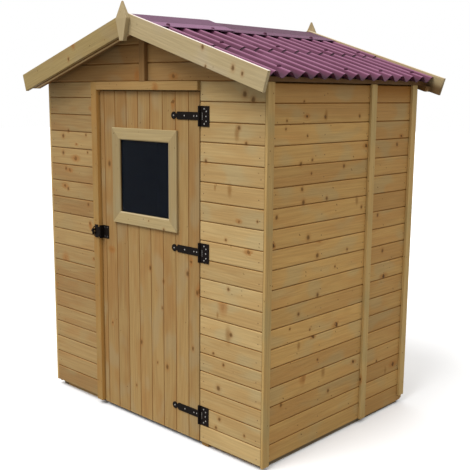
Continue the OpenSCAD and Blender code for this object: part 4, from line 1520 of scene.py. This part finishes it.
@dataclass(frozen=True)
class Studio:
    """Camera at the photograph's angle, pale floor and soft light."""

    eye: Vector = (2.9813, -3.0930, 1.674)
    yaw: float = math.radians(43.353)
    pitch: float = math.radians(10.091)
    roll: float = math.radians(0.497)
    lens: float = 60.75
    sensor: float = 36.0
    horizon: float = 0.35
    zenith: float = 1.50
    sun: float = 2.15
    sun_angle: float = math.radians(35.0)
    sun_way: Vector = (0.10, 0.55, -0.81)
    floor_half: float = 30.0
    floor_lit: Colour = (0.22, 0.21, 0.20)
    floor_seen: tuple[Colour, Colour] = ((0.88, 0.88, 0.88), (0.90, 0.90, 0.90))

    def build(self) -> None:
        """Sets the camera, the floor, the world and the lamp."""
        self.camera()
        self.floor()
        self.world()
        self.lamp()

    def camera(self) -> None:
        """Places the camera from its yaw, pitch and roll."""
        ahead = np.array([-math.sin(self.yaw) * math.cos(self.pitch),
                          math.cos(self.yaw) * math.cos(self.pitch), -math.sin(self.pitch)])
        right = np.array([math.cos(self.yaw), math.sin(self.yaw), 0.0])
        up = np.cross(right, ahead)
        turned = math.cos(self.roll) * right + math.sin(self.roll) * up
        top = -math.sin(self.roll) * right + math.cos(self.roll) * up
        data = bpy.data.cameras.new("camera")
        data.lens, data.sensor_width, data.sensor_fit = self.lens, self.sensor, "HORIZONTAL"
        data.clip_start, data.clip_end = 0.05, 200.0
        bpy.context.scene.camera = self.put(data, turned, top, ahead, self.eye)

    def put(self, data: bpy.types.ID, right: np.ndarray, top: np.ndarray, ahead: np.ndarray,
            place: Vector) -> bpy.types.Object:
        """Puts a camera or a lamp into the scene.

        Args:
            data: The camera or the lamp.
            right: Direction to its right.
            top: Direction of its upper side.
            ahead: Direction in which it looks.
            place: Where it stands.

        Returns:
            The new object.
        """
        matrix = np.eye(4)
        matrix[:3, :3] = np.stack([right, top, -ahead], axis=1)
        matrix[:3, 3] = place
        thing = bpy.data.objects.new(data.name, data)
        thing.matrix_world = Matrix(matrix.tolist())
        bpy.context.scene.collection.objects.link(thing)
        return thing

    def floor(self) -> None:
        """Lays a wide pale floor that takes the shadow and throws little light back up."""
        mesh = bpy.data.meshes.new("floor")
        corners = [(-1, -1), (1, -1), (1, 1), (-1, 1)]
        mesh.from_pydata([(self.floor_half * x, self.floor_half * y, 0.0) for x, y in corners], [],
                         [(0, 1, 2, 3)])
        graph = Graph.of_material("pale_floor")
        speck = graph.noise(graph.place(), 3.0, 2.0)
        pale = graph.blend(speck, *self.floor_seen)
        colour = graph.blend(self.seen(graph), self.floor_lit, pale)
        mesh.materials.append(graph.finish({"Base Color": colour, "Roughness": 0.9,
                                            "Specular IOR Level": 0.0}, speck, 0.0001))
        floor = bpy.data.objects.new("floor", mesh)
        bpy.context.scene.collection.objects.link(floor)

    def seen(self, graph: Graph) -> bpy.types.NodeSocket:
        """Adds a value that tells what looks at the floor or the sky.

        Args:
            graph: Tree that takes the nodes.

        Returns:
            1 where the camera, gloss or glass looks, and 0 for soft light.
        """
        path = graph.add("ShaderNodeLightPath").outputs
        direct = graph.math("MAXIMUM", path["Is Camera Ray"], path["Is Glossy Ray"])
        return graph.math("MAXIMUM", direct, path["Is Transmission Ray"])

    def world(self) -> None:
        """Makes an overcast sky, brighter overhead, that is plain white where it is seen."""
        graph = Graph(bpy.data.worlds.new("overcast_sky"))
        bpy.context.scene.world = graph.owner
        place = graph.add("ShaderNodeTexCoord").outputs["Generated"]
        height = graph.add("ShaderNodeSeparateXYZ", {0: place}).outputs[2]
        level = graph.spread(height, self.horizon, self.zenith)
        strength = graph.add("ShaderNodeMix", {0: self.seen(graph), 2: level, 3: 1.0}).outputs[0]
        sky = graph.add("ShaderNodeBackground", {"Color": (1.0, 1.0, 1.0), "Strength": strength})
        graph.add("ShaderNodeOutputWorld", {"Surface": sky.outputs[0]})

    def lamp(self) -> None:
        """Adds one broad soft sun from high in front."""
        data = bpy.data.lights.new("soft_sun", "SUN")
        data.energy, data.angle = self.sun, self.sun_angle
        ahead = np.array(self.sun_way) / np.linalg.norm(self.sun_way)
        right = np.cross(ahead, (0.0, 0.0, 1.0))
        right /= np.linalg.norm(right)
        self.put(data, right, np.cross(right, ahead), ahead, (0.0, 0.0, 0.0))


@dataclass(frozen=True)
class PlainNodes:
    """Finishes of the nodes that keep their own solids."""

    def dress(self) -> None:
        """Gives each such node its finish."""
        finishes = {
            SAWN.dress(Grain.Z): ("end_studs", "side_studs", "gable_posts"),
            SAWN.dress(Grain.X): ("end_soles", "end_rails", "gable_rails", "gable_rafters",
                                  "door_ledges"),
            WINDOW.dress(Grain.X): ("window_bead",),
            SAWN.dress(Grain.Y): ("side_rails",),
            SHADED_PURLIN.dress(Grain.Y): ("purlins",),
            SAWN.dress(Grain.BRACE): ("door_brace",),
            SOLE.dress(Grain.Y): ("side_soles",),
            IRON.dress(): ("hinge_straps", "hinge_plates", "hasp_bracket", "hasp_leaf", "staple"),
            DarkGlass().dress(): ("window_pane",),
            RIDGE.dress(): ("ridge_cap_front",),
            REAR_RIDGE.dress(): ("ridge_cap_rear",),
        }
        for material, nodes in finishes.items():
            for node in nodes:
                self.paint(node, material)

    def paint(self, node: str, material: bpy.types.Material) -> None:
        """Puts a finish on every material slot of a node's object.

        Args:
            node: Name of the node.
            material: Finish of the node.
        """
        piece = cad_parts[node]
        if not piece.material_slots:
            piece.data.materials.append(material)
        for slot in piece.material_slots:
            slot.material = material
        LOG.info("%s: %s", node, material.name)


def main() -> None:
    """Builds the shed's looks in order."""
    logging.basicConfig(level=logging.INFO, format="%(name)s %(message)s")
    bpy.context.scene.view_settings.view_transform = "Standard"
    Studio().build()
    PlainNodes().dress()
    Walls().build()
    Trims().build()
    Door().build()
    Roof().build()


if __name__ == "__main__":
    main()
